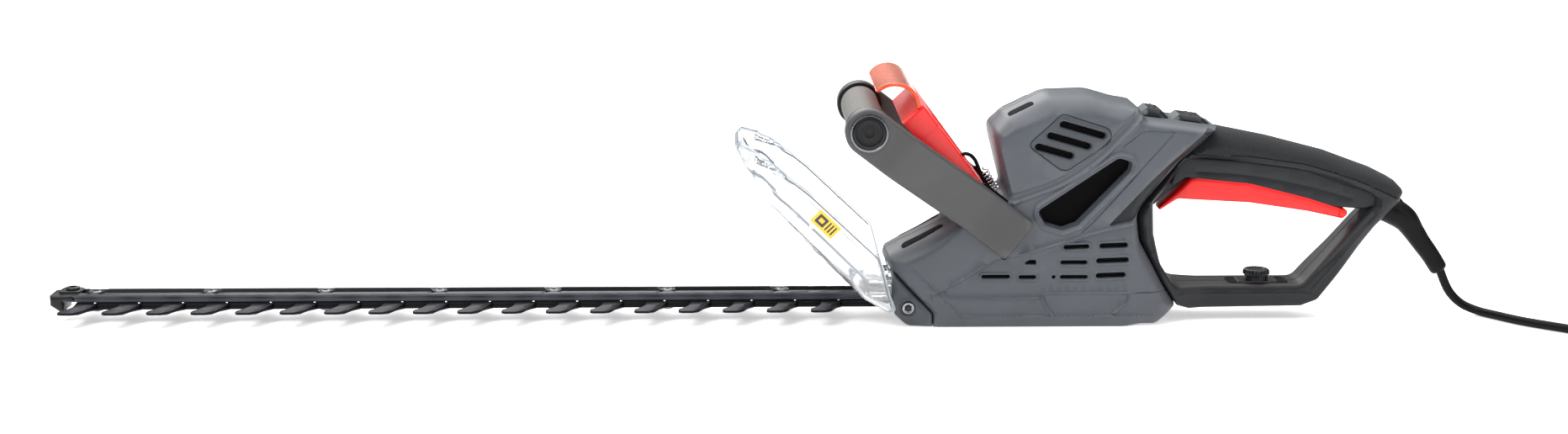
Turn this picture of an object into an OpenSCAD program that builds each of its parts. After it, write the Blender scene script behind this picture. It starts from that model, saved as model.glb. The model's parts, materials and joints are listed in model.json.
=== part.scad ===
// Hedge trimmer with a double-sided blade, a bridge-shaped front handle and a D-shaped rear handle.
// The frame is +X to the rear, -Y to the operator's left when the blade points forward along -X, +Z up.

/* [Body] */
// Half the width of the motor housing
body_half = 38; // [36:1:40]
// Wall thickness of the moulded shells
wall = 3; // [2.5:0.5:3]
// Half the width of the rear handle
handle_half = 20; // [19:0.5:21]
// Depth of the side pockets, measured from the side face
pocket_depth = 9; // [6:0.5:9]

/* [Front handle] */
// Radius of the grip tube
grip_r = 14; // [12:0.5:14]
// Outer face of the side arms, measured from the middle plane
arm_outer = 77; // [72:1:80]
// Width of an arm seen from the side
arm_w = 33.6; // [30:0.2:34]

/* [Blade] */
// Spacing of the teeth on one blade
tooth_pitch = 32; // [30:1:34]
// Number of teeth on one side of one blade
tooth_count = 18; // [12:1:18]
// Reach of the teeth from the middle plane
tooth_reach = 37; // [32:1:38]
// Half the stroke of each blade
half_stroke = 8; // [6:0.5:8]
// Thickness of one blade
blade_t = 2.4; // [2:0.1:2.4]

/* [Drive] */
// Teeth on the driven gear
gear_teeth = 56; // [56]
// Teeth on the motor pinion
pinion_teeth = 12; // [12]

/* [Hidden] */
$fn = 48;

// Heights of the blade stack
lower_z = 10;
blade_gap = 0.3;
upper_z = lower_z + blade_t + blade_gap;
rail_z = upper_z + blade_t + blade_gap;
rail_h = 6;
rail_top = rail_z + rail_h;
rail_half = 11;
rail_front = -486;
rail_rear = 158;
strip_half = 13;
strip_front = -476;
first_tooth_x = -468;
bolt_pitch = 84;
bolt_count = 7;
first_bolt_x = -464;
bolt_r = 2.5;

// Axes of the drive, all vertical in the middle plane
gear_x = 196;
gear_module = 1;
motor_x = gear_x + gear_module * (gear_teeth + pinion_teeth) / 2;
shaft_r = 4;
running_gap = 0.04;
eccentric_r = 12;
yoke_half_x = eccentric_r + 2 * half_stroke + 0.5;
yoke_half_y = eccentric_r + half_stroke + 0.5;
yoke_rim = 5;

// Front handle: the arm's foot and the axis of the grip
foot_x = 198.5;
foot_z = 74;
grip_x = 100;
grip_z = 149.5;
arm_length = norm([foot_x - grip_x, foot_z - grip_z]);
arm_tilt = atan2(grip_z - foot_z, foot_x - grip_x);
arm_t = 10;

// Front switch lever and its pivot
lever_x = 186;
lever_z = 99;
lever_pin_r = 2.5;
hook_x = 119.6;
hook_z = 164.8;
hook_r = 17.4;
hook_t = 3;

// Rear trigger and its pivot
trigger_x = 451;
trigger_z = 79;
trigger_pin_r = 2;
trigger_half = 15;
core_half = 12.9;

// Lock knob in the lower bar of the rear handle
knob_x = 392;
bar_top = 26;

// Clear guard: it leans forward at this angle, and its sides bend back into flanks
guard_x = 117;
guard_z = 22;
guard_tilt = 45;
guard_t = 2.5;
guard_length = 157;
guard_bend = 16;
guard_flare = 0.12;
guard_front = [[-8, -6], [15, -12], [118, -12], [157, -1]];
guard_back = [[-8, -3], [30, 20], [97, 18], [122, 15], [142, 12], [157, 4]];
guard_width = [[-8, 60], [110, 62], [140, 54], [157, 40]];

// Side outlines: each point is [x, z, corner radius]
housing_outline = [
    [150, 0, 0], [313, 0, 8], [329, 13, 3], [318, 30, 8], [300, 62, 10], [297, 82, 8],
    [326, 118, 12], [354, 144.5, 0], [295, 162, 40], [262, 172, 20], [230, 171, 16],
    [199, 155, 9], [189.5, 143, 8], [203, 96, 6], [161, 76, 20], [125, 60, 4], [114, 54, 3],
    [114, 48, 2], [120, 40, 0], [150, 9, 4]
];
cover_outline = [[120, 40, 0], [150, 9, 4], [150, 0, 0], [131, 0, 8], [122, 8, 5], [120, 16, 4]];
handle_outline = [
    [329, 13, 2], [339, 9.5, 6], [422, 10.5, 6], [434, 15, 6], [475, 69, 5], [492, 87, 4],
    [496, 96.5, 4], [489, 104.5, 6], [472, 113, 20], [437, 126, 30], [394, 137, 30],
    [354, 144.5, 0], [326, 118, 12], [297, 82, 8], [300, 62, 10], [318, 30, 8]
];
handle_opening = [
    [328, 26, 12], [424, 26, 10], [466, 74, 2], [470, 78, 3], [478, 91, 6], [422, 108, 20],
    [377, 113, 4], [364, 110.5, 4], [331, 113, 5], [310, 89, 4], [312, 66, 8], [317, 44, 14]
];
overlay_outline = [
    [334, 124, 5], [382, 122, 20], [422, 116, 20], [458, 105, 12], [489, 91, 3], [500, 90, 0],
    [500, 150, 0], [352, 150, 0]
];
trigger_outline = [
    [315.5, 82, 1], [318, 80.5, 1], [330, 90, 5], [382, 87, 30], [425, 80.5, 30], [451, 74.8, 2],
    [458, 80, 2], [425, 91, 30], [382, 102, 30], [343, 106, 6], [338, 105, 3]
];
trigger_inside = [
    [322.5, 85.5, 1], [331, 92.8, 2], [382, 89.8, 30], [425, 83.2, 20], [442, 79.8, 0],
    [442, 100, 0], [384, 114, 0], [342, 118, 0], [339.8, 103.3, 1]
];
trigger_sweep = [
    [311, 78, 0], [312, 88, 0], [332, 117.5, 3], [346, 119.5, 3], [384, 112.5, 0], [427, 97, 0],
    [464, 86, 2], [463, 72, 0], [430, 76, 0], [382, 84, 0], [330, 86, 0], [318, 74, 0]
];
trigger_core = [
    [345, 103, 2], [382, 97.2, 20], [425, 87.2, 10], [441, 83.2, 0], [446, 102, 0],
    [384, 122, 0], [345, 124, 0]
];
trigger_cheek = [
    [440, 83.2, 0], [447, 75, 2], [456, 75, 2], [466, 73, 0], [476, 80, 0], [478, 92, 0], [440, 104, 0]
];
pocket_outline = [
    [223, 86, 4], [229, 76, 3], [242, 72, 5], [253, 76, 5], [290, 115, 6], [291.5, 122, 3], [281, 125, 6]
];
vent_outline = [[216, 135, 4], [240, 117, 8], [278, 145, 8], [240, 156, 6]];
lever_outline = [
    [179, 94, 3], [186, 93, 3], [192, 99, 5], [183, 107, 2], [140.5, 164, 2], [124, 154, 3]
];
lever_inside = [[173, 96, 0], [188, 90, 0], [181.5, 103.5, 0], [139, 159.5, 0], [120, 158, 0]];

// Slots in the housing sides: rows of [z, [[x0, x1], ...]]
slot_h = 4.4;
lower_vents = [
    [59.5, [[244, 261], [269, 289]]],
    [48.5, [[214, 224], [241, 261], [267, 291]]],
    [38.5, [[184, 204], [211, 224], [241, 261], [267, 288]]]
];
grille_slots = [[238, 150.5, 36], [229, 142.5, 33], [220, 134.5, 29]];
grille_tilt = -14;

// Screws that close the shells, as [x, z]
housing_screw_xz = [[165, 62], [300, 14], [210, 154], [288, 150], [299, 100]];
handle_screw_xz = [[352, 17.8], [426, 17.8], [468, 100]];
cover_screw_xz = [131.5, 14];
screw_y = 34;
handle_screw_y = 16;

// Cord: points that the middle of the lead passes through
cord_r = 3.25;
boot_route = [[481, 0, 81.5], [489, 0, 78], [498, 0, 76], [506, 0, 72.5], [514, 0, 65], [520, 0, 53], [529, 0, 33]];
boot_radii = [7, 7, 7, 6.6, 6.2, 5.4, 4.4];
cord_route = [
    [529, 0, 33], [536, 0, 18], [545, -2, 8.5], [556, -8, 4], [567, -22, 3.4], [579, -38, 3.4],
    [596, -54, 3.4], [616, -70, 3.4], [640, -80, 3.4], [664, -76, 3.4], [682, -60, 3.4],
    [690, -38, 3.4], [690, -14, 3.8], [686, 8, 5.5], [680, 28, 7]
];
cord_sides = 8;
cord_steps = 3;
wire_route = [[196, -22, 91], [196.5, -22, 98], [195.5, -22, 108], [190, -22, 117], [183.5, -22, 118], [179, -22, 114]];
wire_r = 1.2;
plug_turn = 107;
plug_length = 36;
pin_length = 19;
pin_r = 2;
pin_spacing = 19;

function unit(v) = v / norm(v);
function corner(a, b, c, r, steps) =
    let (
        u = unit(a - b),
        w = unit(c - b),
        half = acos(max(-1, min(1, u * w))) / 2,
        centre = b + unit(u + w) * r / sin(half),
        spoke = b + u * r / tan(half) - centre,
        turn = (u[0] * w[1] - u[1] * w[0] > 0 ? -1 : 1) * (180 - 2 * half)
    )
    r == 0 ? [b] : [
        for (i = [0:steps])
            let (t = turn * i / steps)
                centre + [spoke[0] * cos(t) - spoke[1] * sin(t), spoke[0] * sin(t) + spoke[1] * cos(t)]
    ];
function flat(p) = [p[0], p[1]];
function rounded(points, steps = 4) = [
    for (i = [0:len(points) - 1])
        each corner(
            flat(points[(i + len(points) - 1) % len(points)]),
            flat(points[i]),
            flat(points[(i + 1) % len(points)]),
            points[i][2],
            steps
        )
];

// A smooth curve through a list of points, and tube rings along it
function spline_at(p, i, t) =
    let (
        a = p[max(i - 1, 0)],
        b = p[i],
        c = p[i + 1],
        d = p[min(i + 2, len(p) - 1)]
    )
    0.5 * (2 * b + (c - a) * t + (2 * a - 5 * b + 4 * c - d) * t * t + (3 * b - a - 3 * c + d) * t * t * t);
function smooth(p, steps) = concat(
    [for (i = [0:len(p) - 2]) for (k = [0:steps - 1]) spline_at(p, i, k / steps)],
    [p[len(p) - 1]]
);
function heading(p, i) = unit(p[min(i + 1, len(p) - 1)] - p[max(i - 1, 0)]);
function ring(p, i, r, sides) =
    let (
        t = heading(p, i),
        side = unit(cross(t, abs(t[1]) > 0.9 ? [1, 0, 0] : [0, 1, 0])),
        top = cross(side, t)
    )
    [for (k = [0:sides - 1]) p[i] + r * (side * cos(360 * k / sides) + top * sin(360 * k / sides))];

module tube(path, radii, sides) {
    count = len(path);
    points = [for (i = [0:count - 1]) each ring(path, i, radii[i], sides)];
    walls = [
        for (i = [0:count - 2])
            for (k = [0:sides - 1])
                let (m = (k + 1) % sides)
                    [i * sides + k, i * sides + m, (i + 1) * sides + m, (i + 1) * sides + k]
    ];
    polyhedron(
        points,
        concat(
            [[for (k = [sides - 1:-1:0]) k]],
            walls,
            [[for (k = [0:sides - 1]) (count - 1) * sides + k]]
        )
    );
}

// A side outline in X and Z, extruded from y0 to y1
module slab(y0, y1) {
    translate([0, y1, 0]) rotate([90, 0, 0]) linear_extrude(y1 - y0) children();
}
module outline(points) {
    polygon(rounded(points));
}
module both_sides() {
    children();
    mirror([0, 1, 0]) children();
}
module disc(x, z0, z1, r) {
    translate([x, 0, z0]) cylinder(h = z1 - z0, r = r);
}
module crosswise(x, z, y0, y1, r) {
    translate([x, y1, z]) rotate([90, 0, 0]) cylinder(h = y1 - y0, r = r);
}
module block(low, high) {
    translate(low) cube(high - low);
}
module slot2d(x0, x1, z, h) {
    translate([x0 + h / 2, z - h / 2]) square([x1 - x0 - h, h]);
    translate([x0 + h / 2, z]) circle(h / 2);
    translate([x1 - h / 2, z]) circle(h / 2);
}

// Shells of the motor housing
module lower_vent_slots() {
    slab(-body_half - 1, -body_half + wall + 1)
        for (row = lower_vents)
            for (span = row[1])
                slot2d(span[0], span[1], row[0], slot_h);
}
module housing_ribs() {
    difference() {
        union() {
            block([200, -27, 72], [262, 0, 76]);
            block([200, -body_half, 72], [216, 0, 76]);
            block([200, -body_half, 126], [264, 0, 130]);
            block([212, -body_half, 148], [252, 0, 156]);
            block([298, -body_half, 116], [324, 0, 120]);
        }
        disc(motor_x, 60, 135, 24.5);
        disc(motor_x, 147, 157, 8);
    }
}
module lever_ear() {
    slab(-34.5, -30.5) outline([[172, 78, 0], [200, 90, 0], [192, 102, 4], [184, 105, 5], [177, 98, 4]]);
}
module housing_half(heads) {
    difference() {
        union() {
            difference() {
                slab(-body_half, 0) outline(housing_outline);
                slab(-body_half + wall, 1) offset(delta = -wall) outline(housing_outline);
            }
            intersection() {
                slab(-body_half, 0) outline(housing_outline);
                union() {
                    housing_ribs();
                    for (s = housing_screw_xz)
                        crosswise(s[0], s[1], -body_half, 0, 5);
                }
            }
            lever_ear();
        }
        lower_vent_slots();
        slab(-body_half - 1, -body_half + wall + 0.1) outline(vent_outline);
        slab(-body_half - 1, -body_half + wall + 0.1) outline(pocket_outline);
        block([110, -30, 8.5], [158, 1, 24]);
        block([298, -14.5, 120], [354.5, 1, 165]);
        slab(-body_half - 1, 1) polygon([[125, 61], [125, 64], [161, 80], [161, 77]]);
        crosswise(lever_x, lever_z, -35, 1, lever_pin_r);
        for (a = [-7, 7]) {
            crosswise(foot_x - a * cos(arm_tilt), foot_z + a * sin(arm_tilt), -39, -31, 2);
            crosswise(foot_x - a * cos(arm_tilt), foot_z + a * sin(arm_tilt), -35, -29, 4.4);
        }
        for (s = housing_screw_xz) {
            crosswise(s[0], s[1], heads ? -39 : -15, 1, 2);
            if (heads)
                crosswise(s[0], s[1], -39, -screw_y, 4.2);
        }
    }
}
module housing_left() {
    color("#585c62") housing_half(false);
}
module housing_right() {
    color("#54585e") mirror([0, 1, 0]) housing_half(true);
}

// Rear handle shells
module overlay_body() {
    difference() {
        intersection() {
            slab(-handle_half, handle_half) outline(handle_outline);
            slab(-handle_half, handle_half) outline(overlay_outline);
        }
        slab(-handle_half + 2.5, handle_half - 2.5) offset(delta = -2.5) outline(handle_outline);
        block([298, -14.5, 120], [354.5, 14.5, 165]);
        crosswise(handle_screw_xz[2][0], handle_screw_xz[2][1], -21, 21, 3.3);
    }
}
module handle_half_shell(heads) {
    difference() {
        union() {
            difference() {
                slab(-handle_half, 0) outline(handle_outline);
                slab(-handle_half - 1, 1) outline(handle_opening);
                slab(-trigger_half - 0.5, 1) outline(trigger_sweep);
            }
            slab(-core_half, 0) outline(trigger_core);
            slab(-core_half, -8.4) outline(trigger_cheek);
        }
        overlay_body();
        block([298, -14.5, 120], [354.5, 1, 165]);
        block([352, -9, 111], [384, 1, 127]);
        disc(368, 95, 112, 4.4);
        block([455, -9, 84], [485, 1, 92]);
        translate([485, 0, 80]) rotate([0, 118, 0]) translate([0, 0, -14]) cylinder(h = 30, r = 7.2);
        block([knob_x - 22.75, -10, 22], [knob_x + 22.75, 1, 27]);
        block([knob_x - 26.5, -14, 16], [knob_x + 26.5, 1, 23]);
        crosswise(trigger_x, trigger_z, -core_half - 1, 1, trigger_pin_r);
        for (s = handle_screw_xz) {
            crosswise(s[0], s[1], heads ? -21 : -12, 1, 1.6);
            if (heads)
                crosswise(s[0], s[1], -21, -handle_screw_y, 3.2);
        }
    }
}
module rear_handle_left() {
    color("#3c3f42") handle_half_shell(false);
}
module rear_handle_right() {
    color("#393c3f") mirror([0, 1, 0]) handle_half_shell(true);
}
module grip_overlay() {
    color("#2e3033") overlay_body();
}

// Cover over the front of the gearcase; it also clamps the blade rail
module gear_cover() {
    color("#4e5257") difference() {
        slab(-body_half, body_half) outline(cover_outline);
        block([110, -strip_half - 1.5, 8.5], [151, strip_half + 1.5, rail_z]);
        block([110, -rail_half, rail_z - 1], [151, rail_half, rail_top]);
        block([124, -30, 24.5], [151, 30, 31]);
        both_sides() {
            crosswise(cover_screw_xz[0], cover_screw_xz[1], -39, -24, 2);
            crosswise(cover_screw_xz[0], cover_screw_xz[1], -39, -36, 4.2);
        }
        for (y = [-20, 20])
            translate([112, y, 32]) rotate([0, 90, 0]) cylinder(h = 20, r = 2);
    }
}

// Slotted grilles over the motor and dark liners of the side pockets
module grille() {
    difference() {
        slab(-body_half, -body_half + wall) outline(vent_outline);
        slab(-body_half - 1, -body_half + wall + 1)
            for (g = grille_slots)
                translate([g[0], g[1]]) rotate(grille_tilt) slot2d(0, g[2], 0, 4.6);
    }
}
module vent_grilles() {
    color("#4a4e53") both_sides() grille();
}
module liner() {
    difference() {
        slab(-body_half + wall, -body_half + pocket_depth + 1.5) offset(delta = 1.5) outline(pocket_outline);
        slab(-body_half + wall - 1, -body_half + pocket_depth) outline(pocket_outline);
    }
}
module pocket_liners() {
    color("#17181a") both_sides() liner();
}

// Front handle
module arm_shape() {
    translate([foot_x, 0, foot_z]) rotate([0, arm_tilt - 180, 0]) rotate([0, 0, 0]) intersection() {
        slab(-arm_outer, -body_half) union() {
            translate([-15.5, -arm_w / 2]) square([arm_length + 15.5, arm_w]);
            translate([arm_length, 0]) circle(arm_w / 2, $fn = 64);
        }
        translate([0, 0, -arm_w / 2 - 1]) linear_extrude(arm_w + 2) polygon([
            [-16, -body_half], [-16, -body_half - 8], [22, -body_half - 8], [94, -arm_outer],
            [arm_length + arm_w, -arm_outer], [arm_length + arm_w, -arm_outer + arm_t + 1],
            [98, -arm_outer + arm_t + 1], [26, -body_half]
        ]);
    }
}
module front_arm() {
    difference() {
        arm_shape();
        crosswise(grip_x, grip_z, -arm_outer - 1, -arm_outer + 12, 3);
        crosswise(grip_x, grip_z, -arm_outer - 1, -arm_outer + 3, 11.8);
        for (a = [-7, 7])
            crosswise(foot_x - a * cos(arm_tilt), foot_z + a * sin(arm_tilt), -44, -37, 2);
    }
}
module front_arm_left() {
    color("#585858") front_arm();
}
module front_arm_right() {
    color("#545454") mirror([0, 1, 0]) front_arm();
}
module front_grip() {
    color("#c8c6c0") difference() {
        crosswise(grip_x, grip_z, -arm_outer + arm_t + 1, arm_outer - arm_t - 1, grip_r);
        crosswise(grip_x, grip_z, -70, 70, grip_r - 2.5);
    }
}
module grip_flanges() {
    color("#1c1d1f") both_sides() difference() {
        crosswise(grip_x, grip_z, -66, -60, 16.8);
        crosswise(grip_x, grip_z, -67, -59, grip_r);
    }
}
module grip_caps() {
    color("#202225") both_sides() crosswise(grip_x, grip_z, -arm_outer - 1, -arm_outer + 3, 11.8);
}
module cap_rings() {
    color("#b9bbbd") both_sides() difference() {
        crosswise(grip_x, grip_z, -arm_outer - 0.6, -arm_outer, 13.4);
        crosswise(grip_x, grip_z, -arm_outer - 2, -arm_outer + 1, 11.8);
    }
}
module grip_rod() {
    color("#8d9093") crosswise(grip_x, grip_z, -arm_outer + 3, arm_outer - 3, 3);
}
module arm_screws() {
    color("#9a9da0") both_sides()
        for (a = [-7, 7]) {
            crosswise(foot_x - a * cos(arm_tilt), foot_z + a * sin(arm_tilt), -44, -35, 2);
            crosswise(foot_x - a * cos(arm_tilt), foot_z + a * sin(arm_tilt), -35, -32.5, 4);
        }
}

// Clear hand guard
module guard_frame() {
    translate([guard_x, 0, guard_z]) rotate([0, -guard_tilt, 0]) children();
}
// A point of the shield: l runs sideways round its bend, s up its length, h inwards from its outer face
function guard_point(l, s, h) =
    let (
        front = lookup(s, guard_front),
        flat = lookup(s, guard_width) - guard_bend,
        run = abs(l) - flat,
        turn = max(0, min(90, run / guard_bend * 180 / PI)),
        flank = max(0, run - guard_bend * PI / 2)
    )
    [
        front + guard_bend - (guard_bend - h) * cos(turn) + flank,
        sign(l) * (min(abs(l), flat) + (guard_bend - h) * sin(turn) + guard_flare * flank),
        s
    ];
// Half the developed width of the shield at a height
function guard_reach(s) =
    let (
        flat = lookup(s, guard_width) - guard_bend,
        deep = lookup(s, guard_back) - lookup(s, guard_front)
    )
    flat + (deep < guard_bend ? guard_bend * acos(1 - deep / guard_bend) * PI / 180
        : guard_bend * PI / 2 + deep - guard_bend);
// A closed sheet between the depths h0 and h1, over a grid of [l, s] rows
module guard_sheet(rows, h0, h1) {
    across = len(rows[0]);
    down = len(rows);
    points = [for (h = [h0, h1]) for (row = rows) for (p = row) guard_point(p[0], p[1], h)];
    step = across * down;
    faces = [
        for (i = [0:down - 2]) for (k = [0:across - 2]) let (a = i * across + k, b = a + across) each [
            [a, b + 1, b], [a, a + 1, b + 1],
            [step + a, step + b, step + b + 1], [step + a, step + b + 1, step + a + 1]
        ]
    ];
    rim = concat(
        [for (k = [0:across - 1]) k],
        [for (i = [1:down - 1]) i * across + across - 1],
        [for (k = [across - 2:-1:0]) (down - 1) * across + k],
        [for (i = [down - 2:-1:1]) i * across]
    );
    edges = [
        for (i = [0:len(rim) - 1]) let (a = rim[i], b = rim[(i + 1) % len(rim)]) each [
            [a, step + b, b], [a, step + a, step + b]
        ]
    ];
    polyhedron(points, concat(faces, edges));
}
module hand_guard() {
    heights = [-8, 2, 15, 30, 55, 85, 110, 122, 134, 146, 153, guard_length];
    color([0.85, 0.9, 0.95, 0.4]) difference() {
        union() {
            difference() {
                guard_frame() guard_sheet(
                    [for (s = heights) [for (k = [-14:14]) [sign(k) * pow(abs(k) / 14, 0.7) * guard_reach(s), s]]],
                    0, guard_t
                );
                block([60, -44, -10], [150, 44, 22.2]);
            }
            block([100, -46, 22.2], [119.5, 46, 25]);
            block([117.5, -26, 22.2], [120, 26, 39]);
        }
        for (y = [-20, 20])
            translate([112, y, 32]) rotate([0, 90, 0]) cylinder(h = 20, r = 2.1);
    }
}
module guard_label() {
    color("#f5b914") guard_frame()
        guard_sheet([for (s = [65, 86]) [for (l = [-82, -70]) [l, s]]], -0.5, 0);
}
module guard_screws() {
    color("#a0a2a5") for (y = [-20, 20]) translate([0, y, 32]) rotate([0, 90, 0]) {
        translate([0, 0, 117.5]) cylinder(h = 8, r = 2);
        translate([0, 0, 115.8]) cylinder(h = 1.7, r = 2.8);
    }
}

// Blade rail, its bolts and the nose piece
module support_rail() {
    color("#2a2c30") difference() {
        block([rail_front, -rail_half, rail_z], [rail_rear, rail_half, rail_top]);
        block([rail_front + 6, -5, rail_top - 2], [112, 5, rail_top + 1]);
        for (i = [0:bolt_count - 1])
            disc(first_bolt_x + i * bolt_pitch, rail_z - 1, rail_top, bolt_r);
    }
}
module rail_bolts() {
    color("#b4b6b8") for (i = [0:bolt_count - 1]) {
        x = first_bolt_x + i * bolt_pitch;
        disc(x, lower_z - 2.6, rail_top - 2, bolt_r);
        disc(x, rail_top - 2, rail_top + 0.4, 4.2);
        difference() {
            translate([x, 0, lower_z - 3.2]) cylinder(h = 2.8, r = 5, $fn = 6);
            disc(x, lower_z - 4, lower_z, bolt_r);
        }
    }
}
module tip_guard() {
    color("#26282b") union() {
        slab(-rail_half, rail_half)
            outline([[-496, 13, 1], [-489, 8, 1], [rail_front, 8, 0], [rail_front, rail_top, 0], [-494, rail_top, 2]]);
        block([-490, -8, rail_top], [-474, 8, rail_top + 1.2]);
        disc(-481, rail_top + 1.2, rail_top + 3.4, 5.5);
    }
}
function tooth(x) = [
    [x - 7.6, strip_half], [x - 14, tooth_reach - 8], [x - 15, tooth_reach - 2], [x - 13, tooth_reach],
    [x - 5, tooth_reach], [x + 1, tooth_reach - 6], [x + 8.4, strip_half]
];
function teeth() = [for (i = [0:tooth_count - 1]) each tooth(first_tooth_x + i * tooth_pitch)];
module blade(z) {
    yoke_front = gear_x - yoke_half_x - yoke_rim;
    yoke_rear = gear_x + yoke_half_x + yoke_rim;
    yoke_side = yoke_half_y + yoke_rim;
    edge = concat(
        [[strip_front, strip_half]],
        teeth(),
        [[yoke_front, strip_half], [yoke_front, yoke_side], [yoke_rear, yoke_side]]
    );
    other_edge = [for (i = [len(edge) - 1:-1:0]) [edge[i][0], -edge[i][1]]];
    translate([0, 0, z]) linear_extrude(blade_t) difference() {
        polygon(concat(edge, other_edge));
        translate([gear_x - yoke_half_x, -yoke_half_y]) square(2 * [yoke_half_x, yoke_half_y]);
        for (i = [0:bolt_count - 1])
            translate([first_bolt_x + i * bolt_pitch, 0])
                slot2d(-half_stroke - bolt_r - 0.3, half_stroke + bolt_r + 0.3, 0, 2 * bolt_r + 0.6);
    }
}
module lower_blade() {
    color("#303236") blade(lower_z);
}
module upper_blade() {
    color("#35373b") blade(upper_z);
}

// Gearcase and motor
module gearcase_base() {
    color("#9aa0a6") block([158, -33, wall], [262, 33, 8]);
}
module gearcase_bracket() {
    color("#a4a9ae") difference() {
        union() {
            block([158, -33, 38], [262, 33, 44]);
            for (x = [162, 257])
                for (y = [-30, 30])
                    translate([x, y, 8]) cylinder(h = 30, r = 3);
        }
        disc(gear_x, 30, 50, 8);
        disc(motor_x, 30, 50, 11);
    }
}
module gear_bush() {
    color("#b08d57") difference() {
        disc(gear_x, 36, 50, 8);
        disc(gear_x, 35, 51, shaft_r + running_gap);
    }
}
module gear_shaft() {
    color("#c5c8cb") {
        disc(gear_x, lower_z, 50.4, shaft_r);
        disc(gear_x, 50.4, 53, 6);
    }
}
module eccentrics() {
    color("#b2b5b9") difference() {
        union() {
            translate([gear_x, half_stroke, lower_z]) cylinder(h = blade_t, r = eccentric_r);
            translate([gear_x, -half_stroke, upper_z]) cylinder(h = blade_t, r = eccentric_r);
            disc(gear_x, lower_z, 24, 7);
        }
        disc(gear_x, lower_z - 1, 25, shaft_r);
    }
}
function gear_points(teeth, tip, root) = [
    for (i = [0:teeth - 1])
        for (k = [[root, -0.3], [tip, -0.13], [tip, 0.13], [root, 0.3]])
            k[0] * [cos(360 * (i + k[1]) / teeth), sin(360 * (i + k[1]) / teeth)]
];
module gear_wheel() {
    color("#8f9398") translate([gear_x, 0, 24]) linear_extrude(10) difference() {
        polygon(gear_points(gear_teeth, gear_teeth / 2 + 0.9, gear_teeth / 2 - 1.2));
        circle(shaft_r);
        for (a = [0:60:300])
            rotate(a) translate([15, 0]) circle(4.5);
    }
}
module pinion() {
    color("#8a8e92") translate([motor_x, 0, 23]) rotate(15) linear_extrude(12) difference() {
        polygon(gear_points(pinion_teeth, pinion_teeth / 2 + 0.9, pinion_teeth / 2 - 1.1));
        circle(3);
    }
}
module armature_shaft() {
    color("#c9ccce") {
        disc(motor_x, 23, 37, 3);
        disc(motor_x, 37, 157, shaft_r);
    }
}
module armature_core() {
    color("#6d7074") difference() {
        union() {
            disc(motor_x, 80, 122, 15);
            disc(motor_x, 76, 128, 12);
        }
        disc(motor_x, 70, 130, shaft_r);
        for (a = [0:30:330])
            translate([motor_x, 0, 79]) rotate(a) translate([12.5, -1, 0]) cube([4, 2, 44]);
    }
}
module commutator() {
    color("#b87333") difference() {
        disc(motor_x, 130, 144, 11);
        disc(motor_x, 129, 145, shaft_r);
    }
}
module fan() {
    color("#d9d9d4") difference() {
        union() {
            disc(motor_x, 58, 60, 23);
            disc(motor_x, 58, 69, 7);
            for (a = [0:40:320])
                translate([motor_x, 0, 60]) rotate(a) translate([5, -0.8, 0]) cube([17, 1.6, 9]);
        }
        disc(motor_x, 57, 70, shaft_r);
    }
}
module stator() {
    color("#7d8084") difference() {
        intersection() {
            disc(motor_x, 76, 126, 26);
            block([208, -24, 70], [260, 24, 130]);
        }
        disc(motor_x, 75, 127, 16.2);
    }
}
module brush_ring() {
    color("#33302c") {
        difference() {
            disc(motor_x, 130, 134, 26);
            disc(motor_x, 129, 135, 13);
        }
        both_sides() difference() {
            block([motor_x - 6, -24, 134], [motor_x + 6, -13, 145]);
            block([motor_x - 3.5, -25, 136], [motor_x + 3.5, -12, 143]);
        }
    }
}
module brushes() {
    color("#2b2b2b") both_sides() block([motor_x - 3.5, -22, 136], [motor_x + 3.5, -11.4, 143]);
}
module lower_bearing() {
    color("#c0c3c6") difference() {
        disc(motor_x, 38, 44, 11);
        disc(motor_x, 37, 45, shaft_r + running_gap);
    }
}
module upper_bearing() {
    color("#c0c3c6") difference() {
        disc(motor_x, 149, 156, 8);
        disc(motor_x, 148, 157, shaft_r + running_gap);
    }
}

// Electrical pieces
module rear_switch() {
    color("#1d1f22") block([353, -8, 111], [383, 8, 125]);
}
module front_switch() {
    color("#1d1f22") {
        block([176, -35, 66], [200, 35, 68]);
        block([178, -6, 68], [198, 6, 80]);
    }
}
module capacitor() {
    color("#c9a227") block([269, -10, wall], [291, 10, 26]);
}
module cable_clamp() {
    color("#26282b") block([457, -9, 84], [466, 9, 90]);
}
module switch_wire() {
    path = smooth(wire_route, 2);
    color("#141517") tube(path, [for (p = path) wire_r], 8);
}
module lever_spring() {
    color("#c8cbce") slab(-19, -17.6) difference() {
        outline([[192, 90, 1], [198, 92, 1], [198, 107, 2.8], [191.6, 110, 2.8]]);
        outline([[193.4, 93.5, 0.8], [196.6, 94.5, 0.8], [196.6, 106.4, 1.4], [193.1, 108, 1.4]]);
    }
}
module hinge_pins() {
    color("#b5b8ba") {
        crosswise(lever_x, lever_z, -34.5, 34.5, lever_pin_r);
        crosswise(trigger_x, trigger_z, -core_half, core_half, trigger_pin_r);
    }
}
module trigger_spring() {
    color("#c4c7ca") difference() {
        disc(368, 104, 111, 4);
        disc(368, 103, 112, 2.8);
    }
}
module button_springs() {
    color("#c4c7ca") for (x = [310, 337]) {
        difference() {
            disc(x, 120, 124.7, 4);
            disc(x, 119, 126, 2.8);
        }
    }
}
module case_screws() {
    color("#8f9295") {
        for (s = housing_screw_xz) {
            crosswise(s[0], s[1], -14, screw_y, 2);
            crosswise(s[0], s[1], screw_y, screw_y + 2.6, 4);
        }
        for (s = handle_screw_xz) {
            crosswise(s[0], s[1], -11, handle_screw_y, 1.6);
            crosswise(s[0], s[1], handle_screw_y, handle_screw_y + 2, 3);
        }
        both_sides() {
            crosswise(cover_screw_xz[0], cover_screw_xz[1], -36, -25, 2);
            crosswise(cover_screw_xz[0], cover_screw_xz[1], -37.6, -36, 4);
        }
    }
}

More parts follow.
